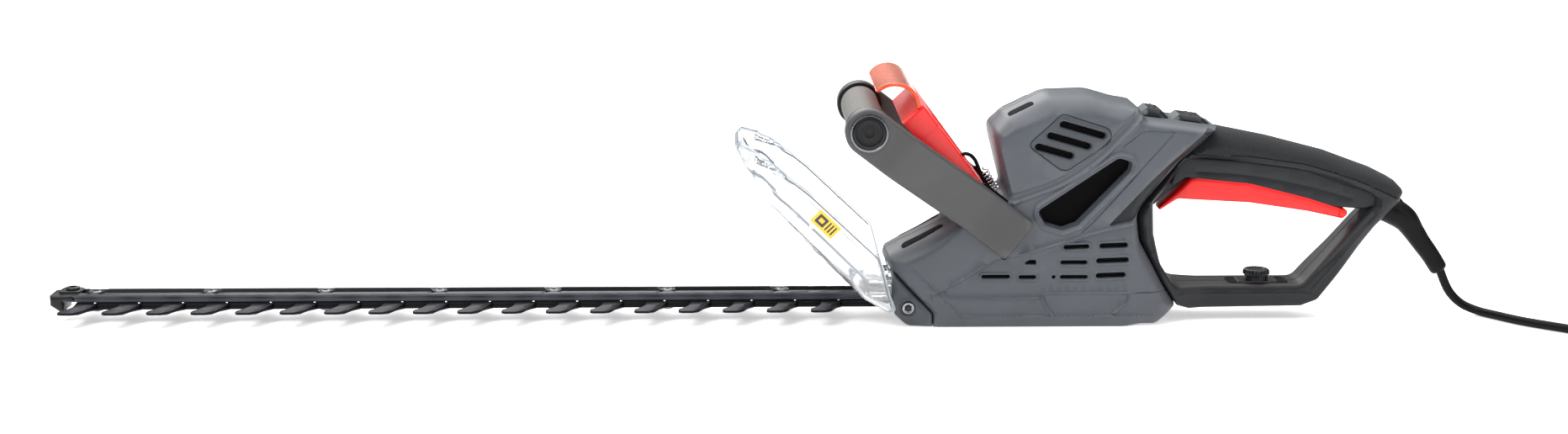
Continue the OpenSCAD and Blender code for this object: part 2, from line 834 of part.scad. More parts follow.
// Mains lead
module cord_boot() {
    path = smooth(boot_route, 2);
    radii = [for (i = [0:len(path) - 1])
        let (a = floor(i / 2), b = min(a + 1, len(boot_radii) - 1), t = i / 2 - a)
            boot_radii[a] * (1 - t) + boot_radii[b] * t];
    color("#1b1c1e") tube(path, radii, 12);
}
module cord_lead() {
    path = smooth(cord_route, cord_steps);
    color("#212224") tube(path, [for (p = path) cord_r], cord_sides);
}
module plug_frame() {
    translate(cord_route[len(cord_route) - 1]) rotate([0, 0, plug_turn]) children();
}
module plug_body() {
    color("#212224") plug_frame() translate([0, 0, -7]) linear_extrude(14)
        outline([[0, -5, 1], [10, -6, 4], [18, -14, 6], [plug_length, -16, 3], [plug_length, 16, 3], [18, 14, 6], [10, 6, 4], [0, 5, 1]]);
}
module plug_pins() {
    color("#c9cbce") plug_frame() for (y = [-pin_spacing / 2, pin_spacing / 2])
        translate([plug_length, y, 0]) rotate([0, 90, 0]) cylinder(h = pin_length, r = pin_r);
}

// Controls
module trigger() {
    color("#fa413c") difference() {
        union() {
            slab(-trigger_half, trigger_half) outline(trigger_outline);
            crosswise(trigger_x, trigger_z, -8, 8, 4.2);
        }
        slab(-trigger_half + 1.7, trigger_half - 1.7) outline(trigger_inside);
        both_sides() block([441.5, -trigger_half + 1.7, 70], [460, -8, 90]);
        crosswise(trigger_x, trigger_z, -20, 20, trigger_pin_r + running_gap);
    }
}
module lever_plan(inset) {
    translate([lever_x, 0, lever_z]) rotate([0, 47, 0]) translate([0, 0, -30]) rotate([0, 0, 180])
        linear_extrude(60)
            polygon([
                [-14, -30 + inset], [-14, 30 - inset], [12, 30 - inset], [84, 58 - inset],
                [110, 58 - inset], [110, -58 + inset], [84, -58 + inset], [12, -30 + inset]
            ]);
}
module lever_base() {
    color("#fa413c") difference() {
        intersection() {
            slab(-58, 58) outline(lever_outline);
            lever_plan(0);
        }
        intersection() {
            slab(-55, 55) outline(lever_inside);
            lever_plan(3);
        }
        crosswise(lever_x, lever_z, -35, 35, lever_pin_r + running_gap);
    }
}
module lever_hook() {
    color([1, 0.55, 0.45, 0.8]) intersection() {
        slab(-58, 58) difference() {
            translate([hook_x, hook_z]) circle(hook_r, $fn = 64);
            translate([hook_x, hook_z]) circle(hook_r - hook_t, $fn = 64);
            translate([hook_x, hook_z]) polygon([
                [0, 0], 40 * [cos(145), sin(145)], [-40, -40], [40, -40], 40 * [cos(-3), sin(-3)]
            ]);
        }
        block([90, -58, 140], [145, 58, 190]);
    }
}
module front_button() {
    color("#28303a") union() {
        slab(-14, 14) outline([[299.5, 146, 1], [321, 140, 1], [320.5, 151, 1.5], [312, 157.8, 2], [301.5, 157, 2]]);
        disc(310, 128, 147, 3.6);
    }
}
module rear_button() {
    color("#28303a") union() {
        slab(-14, 14) outline([[322, 139, 1], [353, 134, 1], [352.5, 144, 1], [343, 151.6, 2], [333, 152.5, 2], [323, 146, 2]]);
        disc(337, 128, 140, 3.6);
    }
}
module lock_knob() {
    color("#1c1e28") {
        disc(knob_x, 16.6, 22.7, 4);
        block([knob_x - 15, -13, 20.4], [knob_x + 15, 13, 22.6]);
        disc(knob_x, 22, bar_top + 5, 8.6);
        disc(knob_x, bar_top + 5, bar_top + 9, 9.8);
    }
}

housing_left();
housing_right();
rear_handle_left();
rear_handle_right();
grip_overlay();
gear_cover();
vent_grilles();
pocket_liners();
front_arm_left();
front_arm_right();
front_grip();
grip_flanges();
grip_caps();
cap_rings();
grip_rod();
arm_screws();
hand_guard();
guard_label();
guard_screws();
support_rail();
rail_bolts();
tip_guard();
gearcase_base();
gearcase_bracket();
gear_bush();
stator();
brush_ring();
brushes();
lower_bearing();
upper_bearing();
rear_switch();
front_switch();
capacitor();
cable_clamp();
switch_wire();
lever_spring();
hinge_pins();
trigger_spring();
button_springs();
case_screws();
cord_boot();
cord_lead();
plug_body();
plug_pins();
gear_wheel();
gear_shaft();
eccentrics();
armature_shaft();
armature_core();
commutator();
fan();
pinion();
lower_blade();
upper_blade();
trigger();
lever_base();
lever_hook();
front_button();
rear_button();
lock_knob();
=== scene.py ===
"""Looks of the hedge trimmer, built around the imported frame.

Shapes are given in millimetres, in the frame's own axes, and MM turns them into metres.
"""
import json
import math
import bpy
import numpy as np
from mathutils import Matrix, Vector
from mathutils.bvhtree import BVHTree
from mathutils.geometry import delaunay_2d_cdt


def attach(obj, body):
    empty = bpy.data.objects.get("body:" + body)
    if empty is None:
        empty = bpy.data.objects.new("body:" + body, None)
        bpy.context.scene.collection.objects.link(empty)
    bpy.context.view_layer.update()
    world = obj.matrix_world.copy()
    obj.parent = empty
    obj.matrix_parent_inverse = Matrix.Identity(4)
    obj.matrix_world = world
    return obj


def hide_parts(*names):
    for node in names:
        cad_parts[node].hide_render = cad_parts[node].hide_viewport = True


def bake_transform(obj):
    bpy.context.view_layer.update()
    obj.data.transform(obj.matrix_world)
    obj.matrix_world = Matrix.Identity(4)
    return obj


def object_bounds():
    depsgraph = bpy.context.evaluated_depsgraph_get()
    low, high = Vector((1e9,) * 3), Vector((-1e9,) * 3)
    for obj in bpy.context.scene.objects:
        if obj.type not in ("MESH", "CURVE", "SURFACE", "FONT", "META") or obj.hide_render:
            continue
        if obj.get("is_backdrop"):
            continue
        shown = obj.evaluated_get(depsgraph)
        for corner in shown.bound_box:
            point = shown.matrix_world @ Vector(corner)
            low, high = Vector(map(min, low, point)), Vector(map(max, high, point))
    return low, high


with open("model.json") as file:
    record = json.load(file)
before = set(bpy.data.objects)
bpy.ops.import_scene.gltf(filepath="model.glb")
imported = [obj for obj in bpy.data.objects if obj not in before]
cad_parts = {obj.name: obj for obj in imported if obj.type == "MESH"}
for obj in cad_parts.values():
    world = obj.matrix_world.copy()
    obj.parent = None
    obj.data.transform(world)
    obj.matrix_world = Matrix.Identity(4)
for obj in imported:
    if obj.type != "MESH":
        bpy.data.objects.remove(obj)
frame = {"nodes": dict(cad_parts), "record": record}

MM = 0.001
cad_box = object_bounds()


# ---------------------------------------------------------------- camera, stage and light

def look_at(item, place, target):
    """Links a camera or lamp into the scene at a place in millimetres, turned towards a target."""
    item.location = [v * MM for v in place]
    aim = Vector(target) - Vector(place)
    item.rotation_mode = "QUATERNION"
    item.rotation_quaternion = aim.to_track_quat("-Z", "Y")
    bpy.context.scene.collection.objects.link(item)


def make_camera():
    """A long lens on the near side, slightly above the tool."""
    data = bpy.data.cameras.new("camera")
    data.sensor_width = 36
    data.lens = 51.6
    data.clip_end = 50
    camera = bpy.data.objects.new("camera", data)
    look_at(camera, (12.6, -1619, 401.6), (41.0, -51, 85.3))
    bpy.context.scene.camera = camera


def area_light(name, place, target, size, watts):
    """A white rectangular lamp; size is its width and height in millimetres."""
    data = bpy.data.lights.new(name, "AREA")
    data.shape = "RECTANGLE"
    data.size, data.size_y = [v * MM for v in size]
    data.energy = watts
    look_at(bpy.data.objects.new(name, data), place, target)


def make_stage():
    """A bright floor, a white world and four lamps."""
    bpy.ops.mesh.primitive_plane_add(size=24, location=(0, 0, 0))
    floor = bpy.context.object
    floor.name = "floor"
    material = bpy.data.materials.new("floor_white")
    material.use_nodes = True
    shader = material.node_tree.nodes["Principled BSDF"]
    shader.inputs["Base Color"].default_value = (0.9, 0.9, 0.9, 1)
    shader.inputs["Roughness"].default_value = 0.9
    shader.inputs["Specular IOR Level"].default_value = 0.1
    shader.inputs["Emission Color"].default_value = (1, 1, 1, 1)
    shader.inputs["Emission Strength"].default_value = 0.5
    floor.data.materials.append(material)
    floor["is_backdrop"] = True
    world = bpy.data.worlds.new("studio")
    world.use_nodes = True
    world.node_tree.nodes["Background"].inputs["Color"].default_value = (1, 1, 1, 1)
    world.node_tree.nodes["Background"].inputs["Strength"].default_value = 0.19
    bpy.context.scene.world = world
    bpy.context.scene.view_settings.view_transform = "Standard"
    area_light("ceiling", (0, 1500, 4500), (0, 1400, 0), (9000, 9000), watts=670)
    area_light("key", (-900, -1100, 1500), (100, 0, 60), (600, 600), watts=14)
    area_light("side", (1500, -900, 700), (100, 0, 80), (300, 900), watts=5)
    area_light("back", (-300, 1500, 900), (100, 0, 80), (1200, 500), watts=10)


make_camera()
make_stage()


# ---------------------------------------------------------------- materials

def rgb(r, g, b):
    """A colour given as screen values from 0 to 255, turned into the linear values that a shader takes."""
    return tuple((v / 255) ** 2.2 for v in (r, g, b)) + (1,)


def scaled(colour, factor):
    """The colour made darker or paler by a factor."""
    return tuple(min(1, v * factor) for v in colour[:3]) + (1,)


class Nodes:
    """Short calls for building one material's node tree."""

    def __init__(self, name):
        self.material = bpy.data.materials.new(name)
        self.material.use_nodes = True
        self.tree = self.material.node_tree
        self.shader = self.tree.nodes["Principled BSDF"]
        self.place = self.add("ShaderNodeTexCoord").outputs["Object"]

    def add(self, kind, **settings):
        """A new node, with settings given by the names of its inputs or of its properties."""
        node = self.tree.nodes.new(kind)
        for key, value in settings.items():
            if key in node.inputs:
                node.inputs[key].default_value = value
            else:
                setattr(node, key, value)
        return node

    def link(self, out, socket):
        """Joins an output to an input."""
        self.tree.links.new(out, socket)

    def scaled_place(self, size, stretch=(1, 1, 1)):
        """The object's own coordinates, with size millimetres as their unit."""
        mapping = self.add("ShaderNodeMapping", Scale=[s / (size * MM) for s in stretch])
        self.link(self.place, mapping.inputs["Vector"])
        return mapping.outputs["Vector"]

    def noise(self, size, detail=3.0, stretch=(1, 1, 1)):
        """Noise whose features are about size millimetres across."""
        place = self.scaled_place(size, stretch)
        node = self.add("ShaderNodeTexNoise", Scale=1.0, Detail=detail, Roughness=0.6)
        self.link(place, node.inputs["Vector"])
        return node.outputs["Fac"]

    def cells(self, size):
        """Distance from the middle of the nearest of many cells, size millimetres apart."""
        place = self.scaled_place(size)
        node = self.add("ShaderNodeTexVoronoi", Scale=1.0)
        self.link(place, node.inputs["Vector"])
        return node.outputs["Distance"]

    def lines(self, size, axis):
        """Lines across the axis, size millimetres apart."""
        place = self.scaled_place(size)
        node = self.add("ShaderNodeTexWave", Scale=math.pi / 10, Distortion=0.4, bands_direction=axis)
        self.link(place, node.inputs["Vector"])
        return node.outputs["Fac"]

    def ramp(self, value, stops):
        """A colour ramp through (position, colour) stops."""
        node = self.add("ShaderNodeValToRGB")
        while len(node.color_ramp.elements) < len(stops):
            node.color_ramp.elements.new(0.5)
        for element, (position, colour) in zip(node.color_ramp.elements, stops):
            element.position = position
            element.color = colour
        self.link(value, node.inputs["Fac"])
        return node.outputs["Color"]

    def span(self, value, low, high):
        """A value from 0 to 1, stretched to run from low to high."""
        node = self.add("ShaderNodeMapRange")
        node.inputs["To Min"].default_value = low
        node.inputs["To Max"].default_value = high
        self.link(value, node.inputs["Value"])
        return node.outputs["Result"]

    def edges(self, sharpness=0.06):
        """0 on flat ground and 1 on outer edges, where a surface wears."""
        geometry = self.add("ShaderNodeNewGeometry")
        node = self.add("ShaderNodeMapRange")
        node.inputs["From Min"].default_value = 0.5 + sharpness * 0.4
        node.inputs["From Max"].default_value = 0.5 + sharpness
        self.link(geometry.outputs["Pointiness"], node.inputs["Value"])
        return node.outputs["Result"]

    def feed(self, socket, value):
        """Gives an input its value, which is either another node's output or a plain value."""
        if hasattr(value, "links"):
            self.link(value, socket)
        else:
            socket.default_value = value

    def mix(self, factor, first, second):
        """The first colour where the factor is 0 and the second where it is 1."""
        node = self.add("ShaderNodeMix", data_type="RGBA")
        self.link(factor, node.inputs["Factor"])
        self.feed(node.inputs[6], first)
        self.feed(node.inputs[7], second)
        return node.outputs[2]

    def bump(self, *layers):
        """Bumps from (height, depth in millimetres) pairs, the broadest first."""
        normal = None
        for height, depth in layers:
            node = self.add("ShaderNodeBump", Strength=1.0, Distance=depth * MM)
            self.link(height, node.inputs["Height"])
            if normal is not None:
                self.link(normal, node.inputs["Normal"])
            normal = node.outputs["Normal"]
        self.link(normal, self.shader.inputs["Normal"])

    def set(self, **values):
        """Feeds the shader's inputs, which are named with underscores for spaces."""
        for key, value in values.items():
            self.feed(self.shader.inputs[key.replace("_", " ")], value)


def moulded(name, colour, roughness=0.45, grain=0.7, depth=0.05, wear=1.25, specular=0.5):
    """Spark-textured plastic: fine grain, faint mottling, and slightly paler outer edges."""
    n = Nodes(name)
    grains = n.noise(grain, 4)
    mottle = n.noise(28, 3)
    body = n.ramp(mottle, [(0.3, scaled(colour, 0.92)), (0.7, scaled(colour, 1.07))])
    n.set(
        Base_Color=n.mix(n.edges(), body, scaled(colour, wear)),
        Roughness=n.span(grains, roughness - 0.07, roughness + 0.1),
        Specular_IOR_Level=specular,
    )
    n.bump((mottle, depth * 0.6), (grains, depth))
    return n.material


def rubber(name, colour, grain=1.1, depth=0.16, roughness=0.72, sheen=0.05, specular=0.3):
    """Soft overlay: a coarse leather-like skin, matt, with dark low spots."""
    n = Nodes(name)
    cells = n.cells(grain)
    fine = n.noise(0.35, 3)
    body = n.ramp(cells, [(0.05, scaled(colour, 1.15)), (0.75, scaled(colour, 0.78))])
    n.set(
        Base_Color=n.mix(n.edges(0.1), body, scaled(colour, 1.2)),
        Roughness=n.span(fine, roughness - 0.1, roughness + 0.12),
        Sheen_Weight=sheen,
        Sheen_Roughness=0.5,
        Specular_IOR_Level=specular,
    )
    n.bump((cells, depth), (fine, depth * 0.3))
    return n.material


def metal(name, colour, roughness=0.28, brushed=(1, 1, 1), scratch=0.8, depth=0.01, stain=0.85):
    """Worked metal: fine tool marks along one axis, and patches of duller finish."""
    n = Nodes(name)
    marks = n.noise(scratch, 3, brushed)
    patches = n.noise(14, 4)
    n.set(
        Base_Color=n.ramp(patches, [(0.3, scaled(colour, stain)), (0.65, scaled(colour, 1.05))]),
        Metallic=1.0,
        Roughness=n.span(marks, roughness - 0.07, roughness + 0.12),
    )
    n.bump((marks, depth))
    return n.material


def clear(name, colour, roughness=0.04, weight=0.92, ior=1.5):
    """Clear moulding with faint flow marks."""
    n = Nodes(name)
    flow = n.noise(30, 2, (1, 1, 0.4))
    fine = n.noise(1.2, 3)
    n.set(
        Base_Color=n.ramp(flow, [(0.2, scaled(colour, 0.97)), (0.8, colour)]),
        Roughness=n.span(fine, roughness, roughness + 0.05),
        Transmission_Weight=weight,
        IOR=ior,
    )
    n.bump((flow, 0.04))
    n.material.surface_render_method = "DITHERED"
    return n.material


def glossy(name, colour, roughness=0.22, coat=0.35, wear=1.12):
    """Smooth satin plastic with a light coat and a slight orange peel."""
    n = Nodes(name)
    peel = n.noise(2.2, 2)
    fine = n.noise(0.4, 3)
    body = n.ramp(n.noise(22, 3), [(0.3, scaled(colour, 0.94)), (0.7, scaled(colour, 1.04))])
    n.set(
        Base_Color=n.mix(n.edges(0.08), body, scaled(colour, wear)),
        Roughness=n.span(fine, roughness - 0.03, roughness + 0.1),
        Coat_Weight=coat,
        Coat_Roughness=0.15,
    )
    n.bump((peel, 0.02), (fine, 0.01))
    return n.material


def wound(name, colour, pitch, axis, metallic=0.0, roughness=0.4):
    """Fine parallel lines, for laminations, mesh and ribbed metal."""
    n = Nodes(name)
    rows = n.lines(pitch, axis)
    n.set(
        Base_Color=n.ramp(rows, [(0.25, scaled(colour, 0.55)), (0.6, colour)]),
        Metallic=metallic,
        Roughness=roughness,
    )
    n.bump((rows, pitch * 0.25), (n.noise(0.6, 3), 0.02))
    return n.material


MATERIALS = {
    "housing_grey": moulded("abs_grey", rgb(74, 78, 84)),
    "cover_grey": moulded("abs_cover", rgb(66, 70, 75), roughness=0.42),
    "handle_grey": moulded("abs_handle", rgb(33, 35, 38), roughness=0.46, specular=0.3),
    "soft_grip": rubber("rubber_overlay", rgb(34, 36, 38), depth=0.22),
    "pocket_black": moulded("abs_pocket", rgb(9, 9, 11), roughness=0.55, grain=1.2, depth=0.1,
                            specular=0.07),
    "arm_grey": moulded("abs_arm", rgb(64, 64, 65), roughness=0.48, grain=0.6, depth=0.04),
    "grip_tube": rubber("rubber_sleeve", rgb(128, 127, 124), grain=0.9, depth=0.05, roughness=0.62),
    "black_plastic": moulded("nylon_black", rgb(15, 16, 18), roughness=0.36, specular=0.3),
    "bright_steel": metal("steel_bright", rgb(200, 202, 205), roughness=0.2),
    "screw_steel": metal("steel_zinc", rgb(176, 178, 182), roughness=0.32),
    "clear_guard": clear("polycarbonate", (0.97, 0.985, 1.0, 1)),
    "label_yellow": glossy("label_film", rgb(246, 186, 22), roughness=0.3, coat=0.5),
    "rail_black": moulded("rail_enamel", rgb(24, 25, 31), roughness=0.36, grain=0.5, depth=0.01,
                          wear=1.8, specular=0.22),
    "blade_black": moulded("blade_oxide", rgb(15, 16, 21), roughness=0.42, grain=0.5, depth=0.01,
                           wear=2.5, specular=0.12),
    "cast_alloy": metal("alloy_cast", rgb(160, 164, 168), roughness=0.5, scratch=1.5, depth=0.06),
    "bronze": metal("bronze_sintered", rgb(176, 141, 87), roughness=0.45, depth=0.02),
    "lamination": wound("laminated_steel", rgb(125, 128, 132), 0.8, "Z", metallic=0.9),
    "copper": wound("copper_bars", rgb(184, 115, 51), 1.6, "X", metallic=1.0, roughness=0.3),
    "carbon": moulded("carbon_block", rgb(40, 40, 42), roughness=0.55),
    "capacitor_box": glossy("capacitor_film", rgb(201, 162, 39)),
    "cord_black": rubber("cord_rubber", rgb(11, 11, 13), grain=0.5, depth=0.02, roughness=0.45,
                         sheen=0.0, specular=0.14),
    "gear_steel": metal("steel_hobbed", rgb(150, 154, 158), roughness=0.38),
    "fan_plastic": moulded("fan_nylon", rgb(217, 217, 212), roughness=0.45),
    "red_plastic": glossy("abs_red", rgb(226, 16, 13), roughness=0.36, coat=0.08),
    "hook_clear_red": clear("acrylic_red", rgb(255, 158, 132), roughness=0.12, weight=0.72, ior=1.45),
    "button_blue_black": moulded("abs_button", rgb(22, 27, 33), roughness=0.3, grain=0.5, depth=0.02,
                                 specular=0.4),
    "knob_black": moulded("abs_knob", rgb(16, 17, 23), roughness=0.34, specular=0.4),
}
# Looks beyond the record's slots: bright rings and bolts, a paler copy of the rail enamel that paints light
# on its side walls, and painted shade for open slots.
RING = metal("steel_ring", rgb(112, 114, 118), roughness=0.24)
RAIL_FLANK_LIT = moulded("rail_enamel_flank_lit", rgb(72, 73, 81), roughness=0.36, grain=0.5, depth=0.02,
                     specular=0.25)
# Painted shade: the near-black inside of open vents and slits.
DARK = moulded("vent_shadow", rgb(7, 7, 8), roughness=0.7, specular=0.1)


def finish_nodes():
    """Gives every CAD node the material of its slot in the record."""
    for part in frame["record"]["subparts"]:
        mesh = frame["nodes"][part["node"]].data
        mesh.materials.clear()
        mesh.materials.append(MATERIALS[part["material_slot"]])


finish_nodes()


# ---------------------------------------------------------------- mains lead

CORD_ROUTE = [
    (529, 0, 33), (536, 0, 18), (545, -2, 8.5), (556, -8, 4), (567, -22, 3.4), (579, -38, 3.4),
    (596, -54, 3.4), (616, -70, 3.4), (640, -80, 3.4), (664, -76, 3.4), (682, -60, 3.4),
    (690, -38, 3.4), (690, -14, 3.8), (686, 8, 5.5), (680, 28, 7),
]
CORD_R = 3.25


def make_cord():
    """One open spline through the route's points, with the same tangents as the CAD tube."""
    data = bpy.data.curves.new("mains_lead", "CURVE")
    data.dimensions = "3D"
    data.bevel_depth = CORD_R * MM
    data.bevel_resolution = 5
    data.resolution_u = 12
    data.use_fill_caps = True
    spline = data.splines.new("BEZIER")
    last = len(CORD_ROUTE) - 1
    spline.bezier_points.add(last)
    for i, point in enumerate(CORD_ROUTE):
        before = Vector(CORD_ROUTE[max(i - 1, 0)])
        after = Vector(CORD_ROUTE[min(i + 1, last)])
        knot = spline.bezier_points[i]
        knot.co = Vector(point) * MM
        knot.handle_left = (Vector(point) - (after - before) / 6) * MM
        knot.handle_right = (Vector(point) + (after - before) / 6) * MM
    data.materials.append(MATERIALS["cord_black"])
    made = bpy.data.objects.new("mains_lead", data)
    bpy.context.scene.collection.objects.link(made)
    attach(made, "housing")
    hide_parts("cord_lead")
    return made


lead = make_cord()


# ---------------------------------------------------------------- outlines and plates

def corner(before, point, after, radius, steps):
    """The arc that rounds one corner of an outline."""
    if radius == 0:
        return [point]
    a = (before - point).normalized()
    b = (after - point).normalized()
    half = a.angle(b) / 2
    centre = point + (a + b).normalized() * radius / math.sin(half)
    spoke = point + a * radius / math.tan(half) - centre
    turn = (math.pi - 2 * half) * (-1 if a.x * b.y - a.y * b.x > 0 else 1)
    arc = []
    for i in range(steps + 1):
        c, s = math.cos(turn * i / steps), math.sin(turn * i / steps)
        arc.append(centre + Vector((spoke.x * c - spoke.y * s, spoke.x * s + spoke.y * c)))
    return arc


def even(line, step):
    """The same line with points no further apart than step."""
    out = [line[0]]
    for a, b in zip(line, line[1:]):
        count = math.ceil((b - a).length / step - 1e-6)
        out += [a.lerp(b, k / count) for k in range(1, count + 1)]
    return out


def loop(points, step=3.0, steps=5):
    """A closed outline from (x, z, corner radius) points."""
    flat = [Vector(p[:2]) for p in points]
    line = []
    for i, p in enumerate(points):
        line += corner(flat[i - 1], flat[i], flat[(i + 1) % len(flat)], p[2] if len(p) > 2 else 0, steps)
    return np.array(even(line + line[:1], step)[:-1])


def smooth(points, steps):
    """A smooth line through points in a plane or in space, with so many steps from each to the next."""
    p = [Vector(q) for q in points]
    line = []
    for i in range(len(p) - 1):
        a, b, c, d = p[max(i - 1, 0)], p[i], p[i + 1], p[min(i + 2, len(p) - 1)]
        for k in range(steps):
            t = k / steps
            line.append(0.5 * (2 * b + (c - a) * t + (2 * a - 5 * b + 4 * c - d) * t ** 2
                               + (3 * b - a - 3 * c + d) * t ** 3))
    return line + [p[-1]]


def curve(points, step=3.0, steps=6):
    """An open smooth outline through the points, with none further apart than step."""
    return np.array(even(smooth(points, steps), step))


def slot(x0, x1, z, height, tilt=0.0):
    """A slot with round ends; it starts at x0 and is turned by tilt degrees about that end."""
    r = height / 2
    ends = [(x1 - x0 - r, -90), (r, 90)]
    line = [(x + r * math.cos(math.radians(a + t)), r * math.sin(math.radians(a + t)))
            for x, a in ends for t in range(0, 181, 30)]
    c, s = math.cos(math.radians(tilt)), math.sin(math.radians(tilt))
    turned = [Vector((x0 + x * c - y * s, z + x * s + y * c)) for x, y in line]
    return np.array(even(turned + turned[:1], 4)[:-1])


def circle(x, z, r, count=20):
    """A closed outline of count points on a circle."""
    turns = [2 * math.pi * i / count for i in range(count)]
    return np.array([(x + r * math.cos(t), z + r * math.sin(t)) for t in turns])


def inward(line, closed=True):
    """Unit normals of a line: to the inside of a closed one, to the left of an open one."""
    ahead, behind = np.roll(line, -1, 0), np.roll(line, 1, 0)
    if not closed:
        ahead[-1], behind[0] = line[-1], line[0]
    along = ahead - behind
    along /= np.linalg.norm(along, axis=1)[:, None]
    left = np.stack([-along[:, 1], along[:, 0]], 1)
    x, z = line.T
    area = (x * np.roll(z, -1) - np.roll(x, -1) * z).sum()
    return left if area > 0 or not closed else -left


def offset(line, far, closed=True):
    """The line moved inwards, or to its left if it is open."""
    return line + inward(line, closed) * far


def distance(points, line, closed=True):
    """How far each point is from a line. Works through the points in lots, to save memory."""
    a, b = line, np.roll(line, -1, 0)
    if not closed:
        a, b = line[:-1], line[1:]
    along = b - a
    best = []
    for some in np.array_split(points, max(1, len(points) // LOT)):
        rel = some[:, None] - a
        t = np.clip((rel * along).sum(2) / (along ** 2).sum(1), 0, 1)
        best.append(np.linalg.norm(rel - t[..., None] * along, axis=2).min(1))
    return np.concatenate(best)


def side_of(points, line):
    """How far each point is from an open line, and a number that is above 0 on its left."""
    a, b = line[:-1], line[1:]
    rel, along = points[:, None] - a, b - a
    t = np.clip((rel * along).sum(2) / (along ** 2).sum(1), 0, 1)
    gap = np.linalg.norm(rel - t[..., None] * along, axis=2)
    near, rows = gap.argmin(1), np.arange(len(points))
    side = along[near, 0] * rel[rows, near, 1] - along[near, 1] * rel[rows, near, 0]
    return gap.min(1), side


def inside(points, line):
    """Which points lie inside a closed line."""
    x, z = points.T
    hit = np.zeros(len(points), bool)
    for (ax, az), (bx, bz) in zip(line, np.roll(line, -1, 0)):
        if az != bz:
            hit ^= ((az > z) != (bz > z)) & (x < (bx - ax) * (z - az) / (bz - az) + ax)
    return hit


def ease(value, low=0.0, high=1.0):
    """0 below low, 1 above high, and smooth between."""
    t = np.clip((value - low) / (high - low), 0, 1)
    return t * t * (3 - 2 * t)


LOT = 2000  # points handled at a time
CLEAR = 0.22  # the least gap from a detail's point to a fixed line
FINE_CELL = 0.25  # details keep one point in each square of this size
WIDE_CELL = 2.5  # the plain grid keeps out of squares of this size that hold a detail
WELD = 1e-4  # points closer than this are one
SLIVER = 1e-7  # triangles with less area than this are dropped


class Plate:
    """A flat shape with holes, cut into triangles fine enough for its raised and sunken details."""

    def __init__(self, outline, holes=(), grid=6.0):
        self.outline, self.holes, self.grid = outline, list(holes), grid
        self.lines, self.creases, self.samples, self.details = [], [], [], []

    def depth(self, points):
        """How far inside the border each point lies."""
        return np.min([distance(points, line) for line in [self.outline] + self.holes], axis=0)

    def within(self, points):
        """Which points lie on the plate and in none of its holes."""
        ok = inside(points, self.outline)
        for hole in self.holes:
            ok &= ~inside(points, hole)
        return ok

    def border(self, *offsets):
        """Adds rings of points inside the border, where its edge is rounded."""
        for sign, line in [(1, self.outline)] + [(-1, hole) for hole in self.holes]:
            for far in offsets:
                ring = offset(line, sign * far)
                self.samples.append(ring[(self.depth(ring) > far * 0.93) & self.within(ring)])
        return self

    def sink(self, line, deep, wall=0.5):
        """A flat-bottomed recess with steep walls. A negative depth raises a boss."""
        inner = offset(line, wall)
        self.lines += [line, inner]
        self.details.append(lambda p: -deep * np.where(
            inside(p, line), np.clip(distance(p, line) / wall, 0, 1), 0))
        return inner

    def ridge(self, line, width, height, closed=False):
        """A rounded rib along a line. A negative height is a groove."""
        if width <= 2:
            self.creases.append((line, closed))
        for far in (0, 0.4, 0.75, 1) if width > 2 else (1,):
            for side in (1, -1):
                self.samples.append(offset(line, side * far * width / 2, closed))
        self.details.append(lambda p: height * (1 - ease(distance(p, line, closed) / (width / 2))))

    def slope(self, line, height, width):
        """A step down or up across an open line: full height on its left, none on its right."""
        for far in (0, 0.35, 0.7, 1):
            self.samples.append(offset(line, far * width, False))

        def rise(p):
            gap, side = side_of(p, line)
            return height * np.where(side > 0, ease(gap / width), 0)
        self.details.append(rise)

    def cut(self):
        """Triangulates the plate. Details too close to each other keep only some of their points."""
        fixed, edges = [], []
        kept = [(line, True) for line in [self.outline] + self.holes + self.lines] + self.creases
        for line, closed in kept:
            first = len(fixed)
            fixed += [Vector(p) for p in line]
            count = len(line) - (not closed)
            edges += [(first + i, first + (i + 1) % len(line)) for i in range(count)]
        low, high = self.outline.min(0), self.outline.max(0)
        xs = np.arange(low[0] + self.grid / 2, high[0], self.grid)
        zs = np.arange(low[1] + self.grid / 2, high[1], self.grid)
        grid = np.array([(x + (i % 2) * self.grid / 2, z) for i, z in enumerate(zs) for x in xs])
        loose = np.concatenate(self.samples + [grid]) if self.samples else grid
        rank = np.concatenate([np.zeros(len(loose) - len(grid)), np.ones(len(grid))])
        keep = self.within(loose)
        for line, closed in kept:
            keep &= distance(loose, line, closed) > np.where(rank > 0, self.grid * 0.5, CLEAR)
        taken = {}
        for point, order in zip(loose[keep], rank[keep]):
            cell = max(FINE_CELL, self.grid * 0.5 * order)
            key = tuple(np.round(point / cell).astype(int))
            wide = tuple(np.round(point / WIDE_CELL).astype(int))
            if order == 0 or wide not in taken:
                taken.setdefault((order, *key), point)
                taken.setdefault(wide, None)
        chosen = [Vector(p) for p in taken.values() if p is not None]
        done = delaunay_2d_cdt(fixed + chosen, edges, [], 0, WELD)
        self.points = np.array([tuple(p) for p in done[0]])
        faces = np.array([f for f in done[2] if len(f) == 3])
        middle = self.points[faces].mean(1)
        faces = faces[self.within(middle)]
        a, b, c = (self.points[faces[:, i]] for i in range(3))
        ab, ac = b - a, c - a
        twice = ab[:, 0] * ac[:, 1] - ab[:, 1] * ac[:, 0]
        faces[twice < 0] = faces[twice < 0][:, ::-1]
        self.faces = faces[abs(twice) > SLIVER]
        self.rim = self.depth(self.points)
        self.relief = sum([detail(self.points) for detail in self.details], np.zeros(len(self.points)))
        return self

    def region(self, line):
        """Which triangles lie inside a line."""
        return inside(self.points[self.faces].mean(1), line)


def edge_drop(rim, radius):
    """How far a rounded edge falls below the face, at each distance in from the border."""
    t = np.clip(1 - rim / radius, 0, 1)
    return radius * (1 - np.sqrt(1 - t * t))


def sideways(points, height):
    """Places a plate drawn in X and Z, its height towards -Y."""
    return np.stack([points[:, 0], -height, points[:, 1]], 1)


